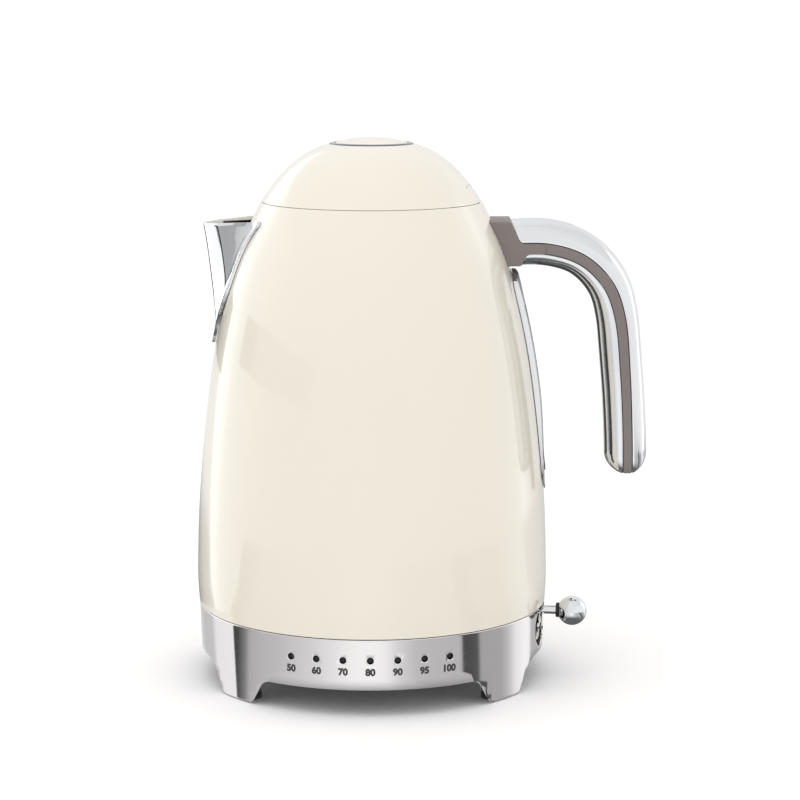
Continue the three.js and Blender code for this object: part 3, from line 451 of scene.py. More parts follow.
# glossy enamel-like paint: even colour, the faintest orange peel under a clear coat
paint = makeFinish("creamPaint", ((9, 4), (226, 220, 206), (230, 224, 211)), [((60, 3), 0.28, 0.36)],
                   ((700, 2), 0.05), Roughness=0.32, Coat_Weight=1.0, Coat_Roughness=0.035, Coat_IOR=1.5,
                   Specular_IOR_Level=0.4)
lampBlack = makePlastic("lampBlack", (10, 10, 11), (20, 20, 22), 0.18)
ink = makePlastic("scaleInk", (52, 50, 50), (66, 64, 64), 0.5)
silicone = makePlastic("paleSilicone", (196, 190, 180), (206, 200, 190), 0.5, 900)
# chrome darkened to paint the shade in the groove round the lid button
grooveShadeChrome = makeChrome("grooveShadeChrome", (112, 113, 116), (126, 127, 130))
# the usual finish of each of the record's slots
finishes = {
    "cream_paint": paint,
    "chrome": makeChrome("polishedChrome", (226, 227, 230), (236, 237, 239)),
    "satin_chrome": makeFinish("satinChrome", ((30, 4), (229, 226, 226), (235, 233, 233)),
                               [(brushed, 0.05, 0.1)], (brushed, 0.015), Metallic=1.0, Roughness=0.08),
    "steel": makeFinish("pressedSteel", ((25, 4), (186, 186, 188), (206, 206, 206)),
                        [(turnedMarks, 0.22, 0.4)], (turnedMarks, 0.08), Metallic=1.0, Roughness=0.3),
    "taupe_plastic": makePlastic("taupePlastic", (118, 110, 107), (128, 120, 117), 0.42),
    "black_plastic": makePlastic("blackPlastic", (24, 24, 25), (34, 33, 34), 0.45),
    "clear_plastic": makeFinish("clearPlastic", ((60, 4), (206, 208, 208), (222, 224, 224)),
                                [((60, 4), 0.05, 0.14)], Roughness=0.08, IOR=1.49, Transmission_Weight=0.85),
    "rubber": makePlastic("rubber", (34, 34, 34), (46, 45, 45), 0.75, 900),
    "brass": makeChrome("brass", (196, 160, 96), (210, 174, 108)),
    "circuit_board": makePlastic("circuitBoard", (26, 70, 42), (34, 86, 52), 0.4),
}
print("materials made")


jug = {
    "outline": [(87.8, 38.55), (88.46, 56), (86.9, 95), (82.2, 143), (76.2, 180), (66.9, 215),
                (55.05, 240.4)],
    "wall": 1.2, "neckR": 49.1, "ledgeZ": 239.3, "neckFootZ": 229.5,
    "pourTop": (17, 229.5), "pourFoot": (6, 188), "gaugeHole": (5, 108, 193.9), "gap": 0.3,
    "catchHole": (6.2, 233.6, 237.8),
}
jugLine = smoothLine(jug["outline"], 10)


def jugR(z):
    return radiusAt(jugLine, z)


# bends a flat piece round the jug: it is made in the plane x = 0, with its height along x
def wrapOnJug(piece, side, lift=None):
    for corner in piece.data.vertices:
        height, y, z = (corner.co.x - axisX) / mm, corner.co.y / mm, corner.co.z / mm
        if lift:
            height *= lift(z)
        r = jugR(z) + jug["gap"] + height
        corner.co = spot(side * math.sqrt(max(r * r - y * y, 0)), y, z)
    return facesOutward(piece)


# the jug's whole volume, a little larger, to trim what stands against it
def jugVolume(grow):
    line = [tuple(p) for p in moved(jugLine, grow)]
    return turned("jugVolume", [(0, line[0][1])] + line + [(0, line[-1][1])], 160)


def makeJug():
    wall, neckR, ledge, foot = jug["wall"], jug["neckR"], jug["ledgeZ"], jug["neckFootZ"]
    outer = [tuple(p) for p in jugLine]
    inner = [tuple(p) for p in moved(jugLine, -wall) if p.y < ledge - wall - 0.8][::-1]
    topR = jugR(ledge) - wall
    mouthR, mouthZ = outer[-1]
    profile = [(outer[0][0] - wall, outer[0][1], 0.3), (*outer[0], 0.6)] + outer[1:-1]
    profile += [(mouthR, mouthZ, 0.3), (mouthR - wall, mouthZ, 0.3), (mouthR - wall, ledge, 0.15)]
    profile += [(neckR, ledge, 0.5), (neckR, foot, 0.3), (neckR + wall, foot, 0.3)]
    profile += [(neckR + wall, ledge - wall, 0.2), (topR, ledge - wall, 0.2)] + inner
    shell = turned("jugShell", profile, 176, loop=True)
    topHalf, topZ = jug["pourTop"]
    footHalf, footZ = jug["pourFoot"]
    pour = boxed("pourCutter", (-100, -topHalf, footZ), (-52, topHalf, topZ))
    stretched(pour, (1, footHalf / topHalf, 1), (0, 0, footZ), lambda x, y, z: z < footZ + 1)
    half, low, high = jug["gaugeHole"]
    window = boxed("gaugeCutter", (60, -half, low), (100, half, high))
    half, low, high = jug["catchHole"]
    catch = boxed("catchCutter", (-52, -half, low), (-47.5, half, high))
    cutAway(shell, pour, window, catch)
    return finished(shell, "jug", "cream_paint", "body_shell")


makeJug()
print("jug made")


lid = {
    "rimR": 54.85, "rimZ": 240.52, "crownZ": 271, "fullness": 2.85, "wall": 1.5, "holeR": 21.0,
    "coverR": 47.9, "coverFloorZ": 232.9, "sheet": 1.2, "dish": 0.3, "hingeX": 49.9, "hingeZ": 244.4,
    "barrelR": 4.9, "hingeHalf": 16.6,
}


def domeZ(r):
    return lid["crownZ"] - (lid["crownZ"] - lid["rimZ"]) * (r / lid["rimR"]) ** lid["fullness"]


def hingeNotch(grow):
    half = lid["hingeHalf"] + grow
    x, z = lid["hingeX"], lid["hingeZ"]
    notch = boxed("notch", (x - lid["barrelR"] - grow, -half, z - 12), (x + 15, half, z))
    return addOn(notch, cylinder("barrel", lid["barrelR"] + grow, 2 * half, (x, 0, z), "Y"))


def makeLid():
    rimR, rimZ, wall, holeR = lid["rimR"], lid["rimZ"], lid["wall"], lid["holeR"]
    steps = 34
    radii = [rimR + (holeR - rimR) * i / steps for i in range(steps + 1)]
    dome = [Vector((r, domeZ(r))) for r in radii]
    inside = [(p.x, p.y) for p in moved(dome, -wall) if p.x < rimR - wall - 0.4][::-1]
    outer = [(rimR, rimZ, 0.3)] + [tuple(p) for p in dome[1:-1]] + [(*dome[-1], 0.35)]
    shell = turned("lidDome", outer + inside + [(rimR - wall - 0.3, rimZ, 0.2)], 176, loop=True)
    cutAway(shell, hingeNotch(0.25))
    finished(shell, "lid", "cream_paint", "lid_shell")

    r, floor, sheet = lid["coverR"], lid["coverFloorZ"], lid["sheet"]
    flangeR, flangeZ = rimR - wall - 1.4, rimZ + 0.3
    pan = turned("lidCover", [
        (0, floor + lid["dish"]), (18, floor + lid["dish"], 1), (20, floor, 1), (r, floor, 1.6),
        (r, flangeZ, 0.4), (flangeR, flangeZ, 0.2), (flangeR, flangeZ + sheet, 0.2),
        (r - sheet, flangeZ + sheet, 0.8), (r - sheet, floor + sheet, 0.8), (0, floor + sheet),
    ], 128)
    slot = boxed("slot", (-r - 2, -5.3, 234.3), (-r + 4, 5.3, 237.3))
    cutAway(pan, slot, hingeNotch(0.5))
    finished(pan, "lid", "steel", "lid_inner_cover")

    neckR = jug["neckR"]
    gasket = turned("lidGasket", [
        (r + 0.3, 237.6, 0.2), (neckR - 0.3, 237.9, 0.3), (r + 0.55, 238.6, 0.2), (neckR - 0.3, 239.4, 0.3),
        (neckR - 0.4, 240.7, 0.2), (r + 0.3, 240.7, 0.2),
    ], 128, loop=True)
    cutAway(gasket, cylinder("hingeWay", lid["barrelR"] + 0.3, 34, (lid["hingeX"], 0, lid["hingeZ"]), "Y"))
    finished(gasket, "lid", "rubber", "lid_gasket", look=silicone)


makeLid()

button = {"r": 18, "topZ": 272, "edgeZ": 269.62, "skirt": 7, "ringR": 20.7, "stemR": 4, "stemFootZ": 240.6}


def makeButton():
    r, top, edge = button["r"], button["topZ"], button["edgeZ"]
    crown = [(r * i / 14, top - (top - edge) * (i / 14) ** 2.2) for i in range(1, 15)]
    crown[-1] = (*crown[-1], 0.7)
    foot, stemR, stemFoot = edge - button["skirt"], button["stemR"], button["stemFootZ"]
    under = edge - 1.2
    cap = turned("lidButton", [(0, top)] + crown + [
        (r, foot, 0.3), (r - 1.4, foot, 0.3), (r - 1.4, under, 0.6), (stemR, under, 0.8),
        (stemR, stemFoot, 0.3), (0, stemFoot),
    ], 96)
    choose(cap, lambda x, y, z: x * x + y * y < (stemR + 0.2) ** 2 and z < under)
    bpy.ops.mesh.bisect(plane_co=spot(0, 0, stemFoot - 1), plane_no=(1, 0, -1), use_fill=True,
                        clear_outer=True)
    closeUp()
    finished(cap, "lid_button", "cream_paint", "lid_button")

    bore, ringR = r + 0.4, button["ringR"]
    top = domeZ(ringR)
    ring = turned("lidButtonRing", [
        (bore, top - 11, 0.2), (ringR, top - 11, 0.2), (ringR, top + 0.3, 0.15),
        (bore + 0.8, top + 0.55, 0.3), (bore, top + 0.3, 0.2),
    ], loop=True)
    # the ring's darkened chrome is painted shade of the groove
    finished(ring, "lid", "chrome", "lid_button_ring", look=grooveShadeChrome)


makeButton()
print("lid made")


spout = {
    # height, reach of the nose, how far the crease lies behind it, half width at the crease
    "levels": [(168, 78.9, 0.2, 1.2), (176, 78.5, 1.1, 3.2), (182, 78.7, 3.0, 6.0), (188, 79.1, 4.9, 8.8),
               (195, 79.8, 7.0, 11.3), (203, 80.7, 8.3, 12.2), (212, 81.8, 8.6, 11.8), (222, 83.2, 8.5, 11.1),
               (236, 85.6, 7.7, 10.2)],
    "flare": 0.5, "noseRound": 7, "creaseRound": 4.5,
    "wall": 1.2, "rootX": 46, "rimTip": (90, 230.4), "rimSlope": 0.07,
    "flangeWidth": 5.4, "flangeThick": 1.6, "flangeTopZ": 232.6, "flangeFootZ": 169.5, "tailZ": 176,
}
spoutLine = smoothLine(spout["levels"], 8)


def spoutLevel(z):
    for low, high in zip(spoutLine, spoutLine[1:]):
        if low[0] <= z <= high[0]:
            return low.lerp(high, (z - low[0]) / (high[0] - low[0]))
    return spoutLine[0] if z < spoutLine[0][0] else spoutLine[-1]


# half width at which the spout's side wall meets the jug
def junction(z):
    nose, bulge, crease = spoutLevel(z)[1:4]
    target = jugR(z)
    low, high = 0.0, nose - bulge - spout["rootX"]
    for _ in range(24):
        middle = (low + high) / 2
        x, y = nose - bulge - middle, crease + spout["flare"] * middle
        low, high = (middle, high) if math.hypot(x, y) > target else (low, middle)
    return crease + spout["flare"] * low


# a grid with each corner put in its own place, given its shares across and up
def mapped(name, across, up, where):
    piece = added(name, "grid", x_subdivisions=across, y_subdivisions=up, size=2)
    for corner in piece.data.vertices:
        corner.co = spot(*where(corner.co.x, (corner.co.y + 1) / 2))
    return piece


# a solid through stacked loops of (x, y) on the spout's side, one loop for each height
def stacked(name, loops):
    count = len(loops[0][1])
    piece, corners = layered(name, count, len(loops) - 1)
    for i, corner in enumerate(corners):
        z, loop = loops[i // count]
        x, y = loop[i % count]
        corner.co = spot(-x, y, z)
    return facesOutward(piece)


# the spout's section, rounded at the nose and at the creases, set in by a share of the wall
def spoutSection(level, inset=0.0):
    z, nose, bulge, crease = level
    nose, crease = nose - 1.15 * inset, max(crease - 0.55 * inset, 0.5)
    root, creaseX = spout["rootX"], nose - bulge
    side = crease + spout["flare"] * (creaseX - root)
    fold = spout["creaseRound"]
    # the rounding takes a little off the nose, so its corner is set further out
    edge = math.hypot(bulge, crease)
    nose += 0.5 * min(spout["noseRound"] * bulge / crease, 0.49 * edge) * bulge / edge
    return z, rounded([(root, -side), (creaseX, -crease, fold), (nose, 0, spout["noseRound"]),
                       (creaseX, crease, fold), (root, side)], steps=8)


def makeSpout():
    wall = spout["wall"]
    body = stacked("spoutShell", [spoutSection(level) for level in spoutLine if level[0] < 231])
    hollow = stacked("hollow", [spoutSection(level, wall) for level in spoutLine if level[0] > 177])
    footZ = spoutLine[0][0]
    tipX, tipZ = spout["rimTip"]
    for corner in body.data.vertices:
        share = (corner.co.z / mm - footZ) / (tipZ - footZ)
        corner.co.z += share * (spout["rimSlope"] * ((corner.co.x - axisX) / mm + tipX) - 0.3) * mm
    cutAway(body, hollow, jugVolume(jug["gap"]))
    eased(body, 0.3, 2, 60)

    wide, top, foot = spout["flangeWidth"], spout["flangeTopZ"], spout["flangeFootZ"]

    def strip(u, v):
        z = foot + (top - foot) * v
        tail = spout["tailZ"]
        inside = junction(z) - 0.4 if z > tail else 0
        outside = junction(max(z, tail)) + wide * smoothStep(z, foot - 8, 186)
        if z < tail:
            outside *= math.sqrt(max(0.001, 1 - ((tail - z) / (tail - foot)) ** 2))
        closing = max(0.0, (z - (top - wide / 2)) / (wide / 2))
        middle, reach = (inside + outside) / 2, (outside - inside) / 2
        return 0, middle + reach * math.sqrt(max(0.02, 1 - closing ** 2)) * u, z

    flange = mapped("spoutFlange", 6, 90, strip)
    applied(flange, "SOLIDIFY", thickness=spout["flangeThick"] * mm, offset=1)
    low = min(corner.co.x for corner in flange.data.vertices)
    for corner in flange.data.vertices:
        corner.co.x += axisX - low
    facesOutward(flange)
    eased(flange, 0.7, 3)
    other = twin(flange, "otherSide")
    wrapOnJug(flange, -1)
    stretched(other, (1, -1, 1), (0, 0, 0))
    wrapOnJug(other, -1)
    joinedUp(body, flange, other)
    return finished(body, "jug", "chrome", "spout", shade=30)


makeSpout()
print("spout made")


handle = {
    "route": [(66, 217.6), (88, 217.5), (104.9, 212), (117.5, 199.7), (123.5, 184.4), (127.2, 155),
              (129.2, 125), (129.8, 104.2)],
    "coreHalf": (2.5, 2.05), "coreShift": -1.3, "gap": 0.12, "halfWidth": 13, "outerReach": (14, 9.1),
    "innerReach": (9.2, 12.3), "endRound": 10, "collarHalf": 13.8, "crown": (1.4, 1),
    "screwsY": (-4.6, 4.6),
    # the collar's edge from its top to its foot: place and rounding
    "collar": [(68.9, 232.4, 0.8), (73.6, 220.05, 5), (86, 219.9, 0), (86, 215.1, 0), (76.8, 215.1, 3.4),
               (74.4, 208.4, 2.2)],
}


# a smooth line through unevenly spaced points, and how far along it each point lies
def evenLine(points, steps=40):
    points = [Vector(p) for p in points]
    points = [2 * points[0] - points[1]] + points + [2 * points[-1] - points[-2]]
    line = []
    for a, b, c, d in zip(points, points[1:], points[2:], points[3:]):
        first, second, third = (math.sqrt((q - p).length) for p, q in ((a, b), (b, c), (c, d)))
        leave = ((b - a) / first - (c - a) / (first + second) + (c - b) / second) * second
        arrive = ((c - b) / second - (d - b) / (second + third) + (d - c) / third) * second
        for k in range(steps):
            t = k / steps
            line.append(b * (2 * t ** 3 - 3 * t ** 2 + 1) + leave * (t ** 3 - 2 * t ** 2 + t)
                        + c * (3 * t ** 2 - 2 * t ** 3) + arrive * (t ** 3 - t ** 2))
    line.append(points[-2])
    far = [0.0]
    for here, following in zip(line, line[1:]):
        far.append(far[-1] + (following - here).length)
    return line, far


routeLine, routeFar = evenLine(handle["route"])
routeLength = routeFar[-1]


# place on the handle's line at a distance along it, and the direction away from the jug there
def station(distance):
    distance = min(max(distance, 0.0), routeLength - 0.001)
    i = max(k for k, far in enumerate(routeFar[:-1]) if far <= distance)
    t = (distance - routeFar[i]) / (routeFar[i + 1] - routeFar[i])
    back, ahead = routeLine[max(i - 1, 0)], routeLine[min(i + 2, len(routeLine) - 1)]
    along = (ahead - back).normalized()
    return routeLine[i].lerp(routeLine[i + 1], t), Vector((-along.y, along.x))


def endShape(distance):
    left = routeLength - distance
    if left >= handle["endRound"]:
        return 1.0
    return math.sqrt(max(0.02, 1 - (1 - left / handle["endRound"]) ** 2))


# a bar along the handle: its section gives (y, rise) for a share round it, at a distance along
def bar(name, section, around, start, end, spans=84):
    stops = [start + (end - handle["endRound"] - start) * i / spans for i in range(spans + 1)]
    stops += [end - handle["endRound"] * k for k in (0.86, 0.72, 0.58, 0.45, 0.33, 0.22, 0.13, 0.06, 0.02, 0)]
    piece, corners = layered(name, around, len(stops) - 1)
    for i, corner in enumerate(corners):
        distance = stops[i // around]
        at, out = station(distance)
        y, rise = section((i % around) / around, distance)
        corner.co = spot(at.x + out.x * rise, y, at.y + out.y * rise)
    return facesOutward(piece)


# half the core's thickness and how far the core leans towards the jug, at a share along the handle
def coreAt(along):
    start, end = handle["coreHalf"]
    lean = smoothStep(along, 0.3, 1)
    return start + (end - start) * lean, handle["coreShift"] * lean


# one chrome half: a full rounded back on a flat face, with small roundings where the two meet
def chromeHalf(name, side, reach, easing):

    def section(share, distance):
        along = distance / routeLength
        coreHalf, shift = coreAt(along)
        base = coreHalf + handle["gap"] + side * shift
        shape = endShape(distance)
        width = handle["halfWidth"] * (0.7 + 0.3 * shape)
        full = reach[0] + (reach[1] - reach[0]) * smoothStep(along, *easing)
        height = max(0.6, (full - base) * shape)
        if share < 0.8:
            angle = math.pi * share / 0.8
            rise = 0.3 + (height - 0.3) * math.sin(angle) ** 0.8
            return -width * math.cos(angle), side * (base + rise)
        share = (share - 0.8) / 0.2
        inset = 0.3 * min(1, 6 * min(share, 1 - share))
        return (width - inset) * (1 - 2 * share), side * base

    return bar(name, section, 60, 2, routeLength * 0.998)


# the collar's outline, or with a clearance the larger one that the chrome halves are cut back to
def collarOutline(clear=0):
    edge = handle["collar"]
    (topX, topZ, _), (waistX, waistZ, _), (footX, footZ, _) = edge[0], edge[1], edge[-1]
    if not clear:
        return rounded([(50, topZ)] + edge + [(50, footZ)], steps=6)
    farX = topX + (topX - waistX) / (topZ - waistZ) * (260 - topZ)
    line = rounded([(30, 260), (farX, 260, 0)] + edge[1:] + [(footX, 190, 0), (30, 190)], steps=6)
    return [(x + clear, z) for x, z in line]


def makeHandle():
    outer = chromeHalf("handleOuter", 1, handle["outerReach"], (0.1, 0.6))
    inner = chromeHalf("handleInner", -1, handle["innerReach"], (0.2, 0.6))
    for piece, node in ((outer, "handle_outer_cover"), (inner, "handle_inner_cover")):
        cutAway(piece, prism("collarWay", collarOutline(0.15), 30))
        eased(piece, 0.22, 2, 50)
        finished(piece, "jug", "chrome", node, shade=40)

    def block(share, distance):
        width = handle["halfWidth"] * (0.7 + 0.3 * endShape(distance)) - 0.05
        half, shift = coreAt(distance / routeLength)
        low, high = shift - half, shift + half
        corners = [(-width, low), (width, low), (width, high), (-width, high)]
        side = share * 4
        i = int(side)
        (ya, ra), (yb, rb) = corners[i], corners[(i + 1) % 4]
        return ya + (yb - ya) * (side - i), ra + (rb - ra) * (side - i)

    core = bar("handleCore", block, 16, 8, routeLength)
    eased(core, 0.25, 2, 50)
    half = handle["collarHalf"]
    collar = prism("collar", collarOutline(), half, layers=16)
    for corner in collar.data.vertices:
        share, z = abs(corner.co.y / mm) / half, corner.co.z / mm
        drop = handle["crown"][0] * smoothStep(z, 223, 231) - handle["crown"][1] * smoothStep(-z, -214, -210)
        corner.co.z -= drop * share ** 3 * mm
    facesOutward(collar)
    for y in handle["screwsY"]:
        cutAway(collar, cylinder("screwWay", 2.7, 10, (71.6, y, 205.5), "Z", 32))
    cutAway(collar, jugVolume(handle["gap"]))
    eased(collar, 1.2, 4, 50)
    addOn(core, collar)
    finished(core, "jug", "taupe_plastic", "handle_core")

    # short screws, their heads sunk in the collar
    for side, y in zip(("left", "right"), handle["screwsY"]):
        screw = cylinder("handleScrew" + side.title(), 2.3, 2.2, (72.9, y, 209.9))
        addOn(screw, cylinder("shank", 1.2, 6.6, (72.9, y, 213.5)))
        cutAway(screw, boxed("drive", (71.4, y - 0.35, 208), (74.4, y + 0.35, 209.5)))
        finished(eased(screw, 0.2), "jug", "steel", "handle_screw_" + side)


makeHandle()
print("handle made")

gauge = {
    "half": 14, "foot": 95, "top": 206.9, "rim": 5.6, "inset": 9, "proud": (1.0, 3.3), "taper": (95, 150),
    "window": 8.4,
}


# a point on the outline of an upright slot with round ends
def stadium(share, half, foot, top):
    arc = 0.3
    share = share % 1
    if share >= 0.5:
        y, z = stadium(share - 0.5, half, foot, top)
        return -y, foot + top - z
    if share < arc:
        angle = math.pi * share / arc
        return half * math.cos(angle), top - half + half * math.sin(angle)
    return -half, top - half - (top - foot - 2 * half) * (share - arc) / (0.5 - arc)


def gaugeLift(z):
    low, high = gauge["proud"]
    return low + (high - low) * smoothStep(z, *gauge["taper"]) - jug["gap"]


def makeGauge():
    # share in from the outer edge, and height as a share of how proud it stands
    section = [(0, 0), (0, 0.55), (0.03, 0.8), (0.1, 0.94), (0.22, 1), (0.78, 1), (0.9, 0.95), (0.97, 0.82),
               (1, 0.6), (1, 0), (0.66, 0), (0.33, 0), (0, 0)]

    layers = [(0.003, 0.42), (0.34, 0.42), (0.67, 0.42), (1, 0.42), (1, 0.8), (0.97, 0.86), (0.67, 0.88),
              (0.34, 0.88), (0.003, 0.88), (0.003, 0.42)]
    edge = gauge["window"] - 0.3

    # how far in from each side and from each end a layer lies
    def ofFrame(out):
        return gauge["half"] - gauge["rim"] * out, gauge["inset"] * out

    def ofPane(out):
        return edge * out, gauge["inset"] + 0.3 + edge * (1 - out)

    for name, around, rows, shape, slot, node in (
            ("gaugeFrame", 180, section, ofFrame, "chrome", "water_gauge_bezel"),
            ("gaugePane", 120, layers, ofPane, "clear_plastic", "water_gauge_window")):

        def ringSpot(u, v):
            out, lift = rows[round(v * (len(rows) - 1))]
            half, inset = shape(out)
            return lift, *stadium((u + 1) / 2, half, gauge["foot"] + inset, gauge["top"] - inset)

        piece = facesOutward(mapped(name, around, len(rows) - 1, ringSpot))
        wrapOnJug(piece, 1, gaugeLift)
        finished(piece, "jug", slot, node, shade=40)


makeGauge()
print("gauge made")


base = {
    "topR": 87.7, "footR": 86.2, "topZ": 38.25, "footZ": 0.6, "wall": 3, "ledgeZ": 34.2, "ledgeWidth": 3.6,
    "trayZ": 13, "trayThick": 1.8, "deckZ": 41.2, "lampZ": 28.1, "lampR": 1.7, "lampStep": 8.67,
    "numbers": ["50", "60", "70", "80", "90", "95", "100"], "numberZ": 22.4, "numberTall": 3.8,
    "glandZ": 22.7,
}
lever = {
    "azimuth": -9, "pivotR": 52, "z": 35, "ballR": 7.4, "reach": 102.2, "stemR": 2.2, "neckR": 3.7,
    "shieldR": 31.3, "shieldHalf": 10.6, "shieldThick": 1.3, "shieldSpan": (-26, 5.5), "gap": 0.3,
}


def skirtR(z):
    footR, footZ = base["footR"], base["footZ"]
    return footR + (base["topR"] - footR) * (z - footZ) / (base["topZ"] - footZ)


# the outline of an arch: foot half width, slanted side, rounded shoulder, flat top
def archOutline(foot, lean, shoulder, flat, leanZ, topZ):
    side = [(foot + 1.6, -5), (foot + 1.6, base["footZ"] - 0.01), (foot + 0.3, 1.0), (foot - 0.6, 1.9),
            (foot - 1.3, 3.1), (foot - lean, leanZ)]
    for k in range(1, 9):
        t = k / 8
        x = (1 - t) ** 2 * (foot - lean) + 2 * t * (1 - t) * (foot - shoulder) + t * t * (foot - flat)
        z = (1 - t) ** 2 * leanZ + 2 * t * (1 - t) * topZ + t * t * topZ
        side.append((x, z))
    return [(-x, z) for x, z in side] + side[::-1]


def makeSkirt():
    footR, topR, footZ, topZ = base["footR"], base["topR"], base["footZ"], base["topZ"]
    wall, ledge, width = base["wall"], base["ledgeZ"], base["ledgeWidth"]
    lip = ledge - 1.6
    heights = [footZ + 0.9] + [footZ + (topZ - footZ) * k / 6 for k in range(1, 6)] + [topZ - 1.1, topZ - 0.7]
    middle = [(skirtR(z), z) for z in heights]
    skirt = turned("baseSkirt", [(footR, footZ, 0.25)] + middle + [
        (topR, topZ, 0.45), (topR - wall, topZ, 0.3), (skirtR(ledge) - wall, ledge, 0.2),
        (skirtR(ledge) - wall - width, ledge, 0.2), (skirtR(ledge) - wall - width, lip, 0.2),
        (skirtR(lip) - wall, lip - width * 0.6, 0.2), (footR - wall, footZ, 0.25),
    ], 192, loop=True)
    front = prism("frontArch", archOutline(footR - 28, 4.2, 5.6, 9.6, 9.2, 13.4), 100)
    side = swung(prism("sideArch", archOutline(footR - 40.6, 4.9, 9, 19.5, 9.5, 15.3), 100), 90)
    slot = cylinder("slot", 1, 30, (topR, 0, 29), "X", 64)
    stretched(slot, (1, 13.8, 11.5), (topR, 0, 29))
    way = boxed("way", (topR - 18, -14, 25.2), (skirtR(ledge) - wall - 0.01, 14, 35.2))
    inlet = cylinder("inlet", 5.3, 30, (0, topR, base["glandZ"]), "Y")
    holes = [swung(cylinder("lampHole", base["lampR"], 20, (0, -topR, base["lampZ"]), "Y", 32),
                   i * base["lampStep"]) for i in range(-3, 4)]
    cutAway(skirt, front, side, swung(slot, -11.5), swung(way, lever["azimuth"]), inlet, *holes)
    eased(skirt, 0.3, 2, 50)
    return finished(skirt, "base", "satin_chrome", "base_skirt", shade=40)


def makeLamps():
    r = skirtR(base["lampZ"]) - base["wall"] - 0.3
    z = base["lampZ"]
    section = [(r - 2.4, z - 2.6, 0.3), (r, z - 2.6, 0.3), (r, z + 2, 0.3), (r - 2.4, z + 2, 0.3)]
    band = turned("lampGuide", section, 160, loop=True)
    reach = 100 * math.tan(math.radians(30))
    wedge = prism("wedge", [(-0.1, 20), (0.1, 20), (0.1, 36), (-0.1, 36)], 50, -50)
    stretched(wedge, (reach / 0.1, 1, 1), (0, -100, z), lambda x, y, z: y < -50)
    keepInside(band, wedge)
    face = skirtR(z) - 0.25
    pins = []
    for i in range(-3, 4):
        lens = cylinder("lampLens", base["lampR"] - 0.3, face - r + 1, (0, -(face + r - 1) / 2, z), "Y", 32)
        bevelled(lens, 0.75, 4, lambda x, y, z: y < -face + 0.3)
        pins.append(swung(lens, i * base["lampStep"]))
    joinedUp(band, *pins)
    return finished(band, "base", "clear_plastic", "lamp_light_guide", look=lampBlack)


def makeNumbers():
    made = []
    for i, word in enumerate(base["numbers"]):
        clearSelection()
        bpy.ops.object.text_add()
        text = bpy.context.object
        text.data.body = word
        text.data.align_x = "CENTER"
        text.data.extrude = 0.004
        text.data.offset = 0.055
        text.data.resolution_u = 6
        bpy.ops.object.convert(target="MESH")
        number = bpy.context.object
        number.name = number.data.name = "number" + word
        (left, low), (right, high) = (
            [edge(c.co[k] for c in number.data.vertices) for k in (0, 1)] for edge in (min, max))
        size, middle = base["numberTall"] / (high - low), (left + right) / 2
        facesOutward(number, 0.0001)
        turn = math.radians((i - 3) * base["lampStep"])
        for corner in number.data.vertices:
            across, up, out = (corner.co.x - middle) * size, (corner.co.y - low) * size, corner.co.z * size
            z = base["numberZ"] - base["numberTall"] / 2 + up
            r = skirtR(z) + 0.03 + out
            angle = turn + across / r
            corner.co = spot(r * math.sin(angle), -r * math.cos(angle), z)
        made.append(number)
    joinedUp(*made)
    return finished(made[0], "base", "black_plastic", look=ink, shade=0)


makeSkirt()
makeLamps()
makeNumbers()
print("base skirt made")


def makeLever():
    z, reach, ballR, turn = lever["z"], lever["reach"], lever["ballR"], lever["azimuth"]
    pivotR, shieldR, neckEnd = lever["pivotR"], lever["shieldR"], reach - ballR + 1.2
    ball = settle(added("leverBall", "uv_sphere", segments=64, ring_count=40, radius=ballR * mm,
                        location=spot(reach, 0, z), rotation=(0, math.pi / 2, 0)))
    cutAway(ball, cylinder("socket", lever["neckR"] + lever["gap"], 4.5, (neckEnd - 1.95, 0, z), "X", 64))
    finished(swung(ball, turn), "lever", "chrome", "lever_ball", shade=40)

    start = pivotR + shieldR - 15.6
    stem = cylinder("leverStem", lever["stemR"], neckEnd - start, ((start + neckEnd) / 2, 0, z), "X", 40)
    finished(swung(stem, turn), "lever", "chrome", "lever_stem")
    neck = cylinder("leverNeck", lever["neckR"], 1.8, (neckEnd - 0.9, 0, z), "X", 64)
    eased(neck, 0.35, 3)
    finished(swung(neck, turn), "lever", "black_plastic")

    low, high = (math.radians(a) for a in lever["shieldSpan"])

    def sheetSpot(u, v):
        angle = low + (high - low) * v
        return pivotR + shieldR * math.cos(angle), lever["shieldHalf"] * u, z + shieldR * math.sin(angle)

    shield = mapped("leverShield", 12, 36, sheetSpot)
    applied(shield, "SOLIDIFY", thickness=lever["shieldThick"] * mm, offset=0)
    facesOutward(shield)
    # the thickness goes to both sides, so the sheet is drawn in until its outer face has the radius
    pivot = Vector(spot(pivotR, 0, z)).xz
    k = shieldR * mm / max((c.co.xz - pivot).length for c in shield.data.vertices)
    stretched(shield, (k, 1, k), (pivotR, 0, z))
    cutAway(shield, cylinder("stemWay", lever["stemR"] + lever["gap"], 20, (pivotR + shieldR, 0, z), "X", 40))
    eased(shield, 0.3, 2, 60)
    finished(swung(shield, turn), "lever", "satin_chrome", "lever_shield")


makeLever()
print("lever made")


def screwHead(name, x, y, low, high, r, shankR, shankTop):
    head = turned(name, [(0, low), (r, low, 0.5), (r, high, 0.2), (shankR, high, 0.1),
                         (shankR, shankTop, 0.4), (0, shankTop)], 40, centre=(x, y))
    for turn in (0, 90):
        slot = boxed("slot", (x - 1.7, y - 0.35, low - 1), (x + 1.7, y + 0.35, low + 0.9))
        cutAway(head, swung(slot, turn, x, y))
    return head


fixings = {
    "floor": (68, {"right": 60, "rear": 180, "left": 300}),
    "foot": (78, {"front_right": 48.8, "rear_right": 131.2, "rear_left": 228.8, "front_left": 311.2}),
    "tray": (60, {"front_right": 20, "rear_right": 122, "rear_left": 200, "front_left": 302}),
}


# name and place of everything that stands on one ring
def ringOf(fixing):
    r, azimuths = fixings[fixing]
    for name, azimuth in azimuths.items():
        angle = math.radians(azimuth)
        yield name, r * math.sin(angle), -r * math.cos(angle)


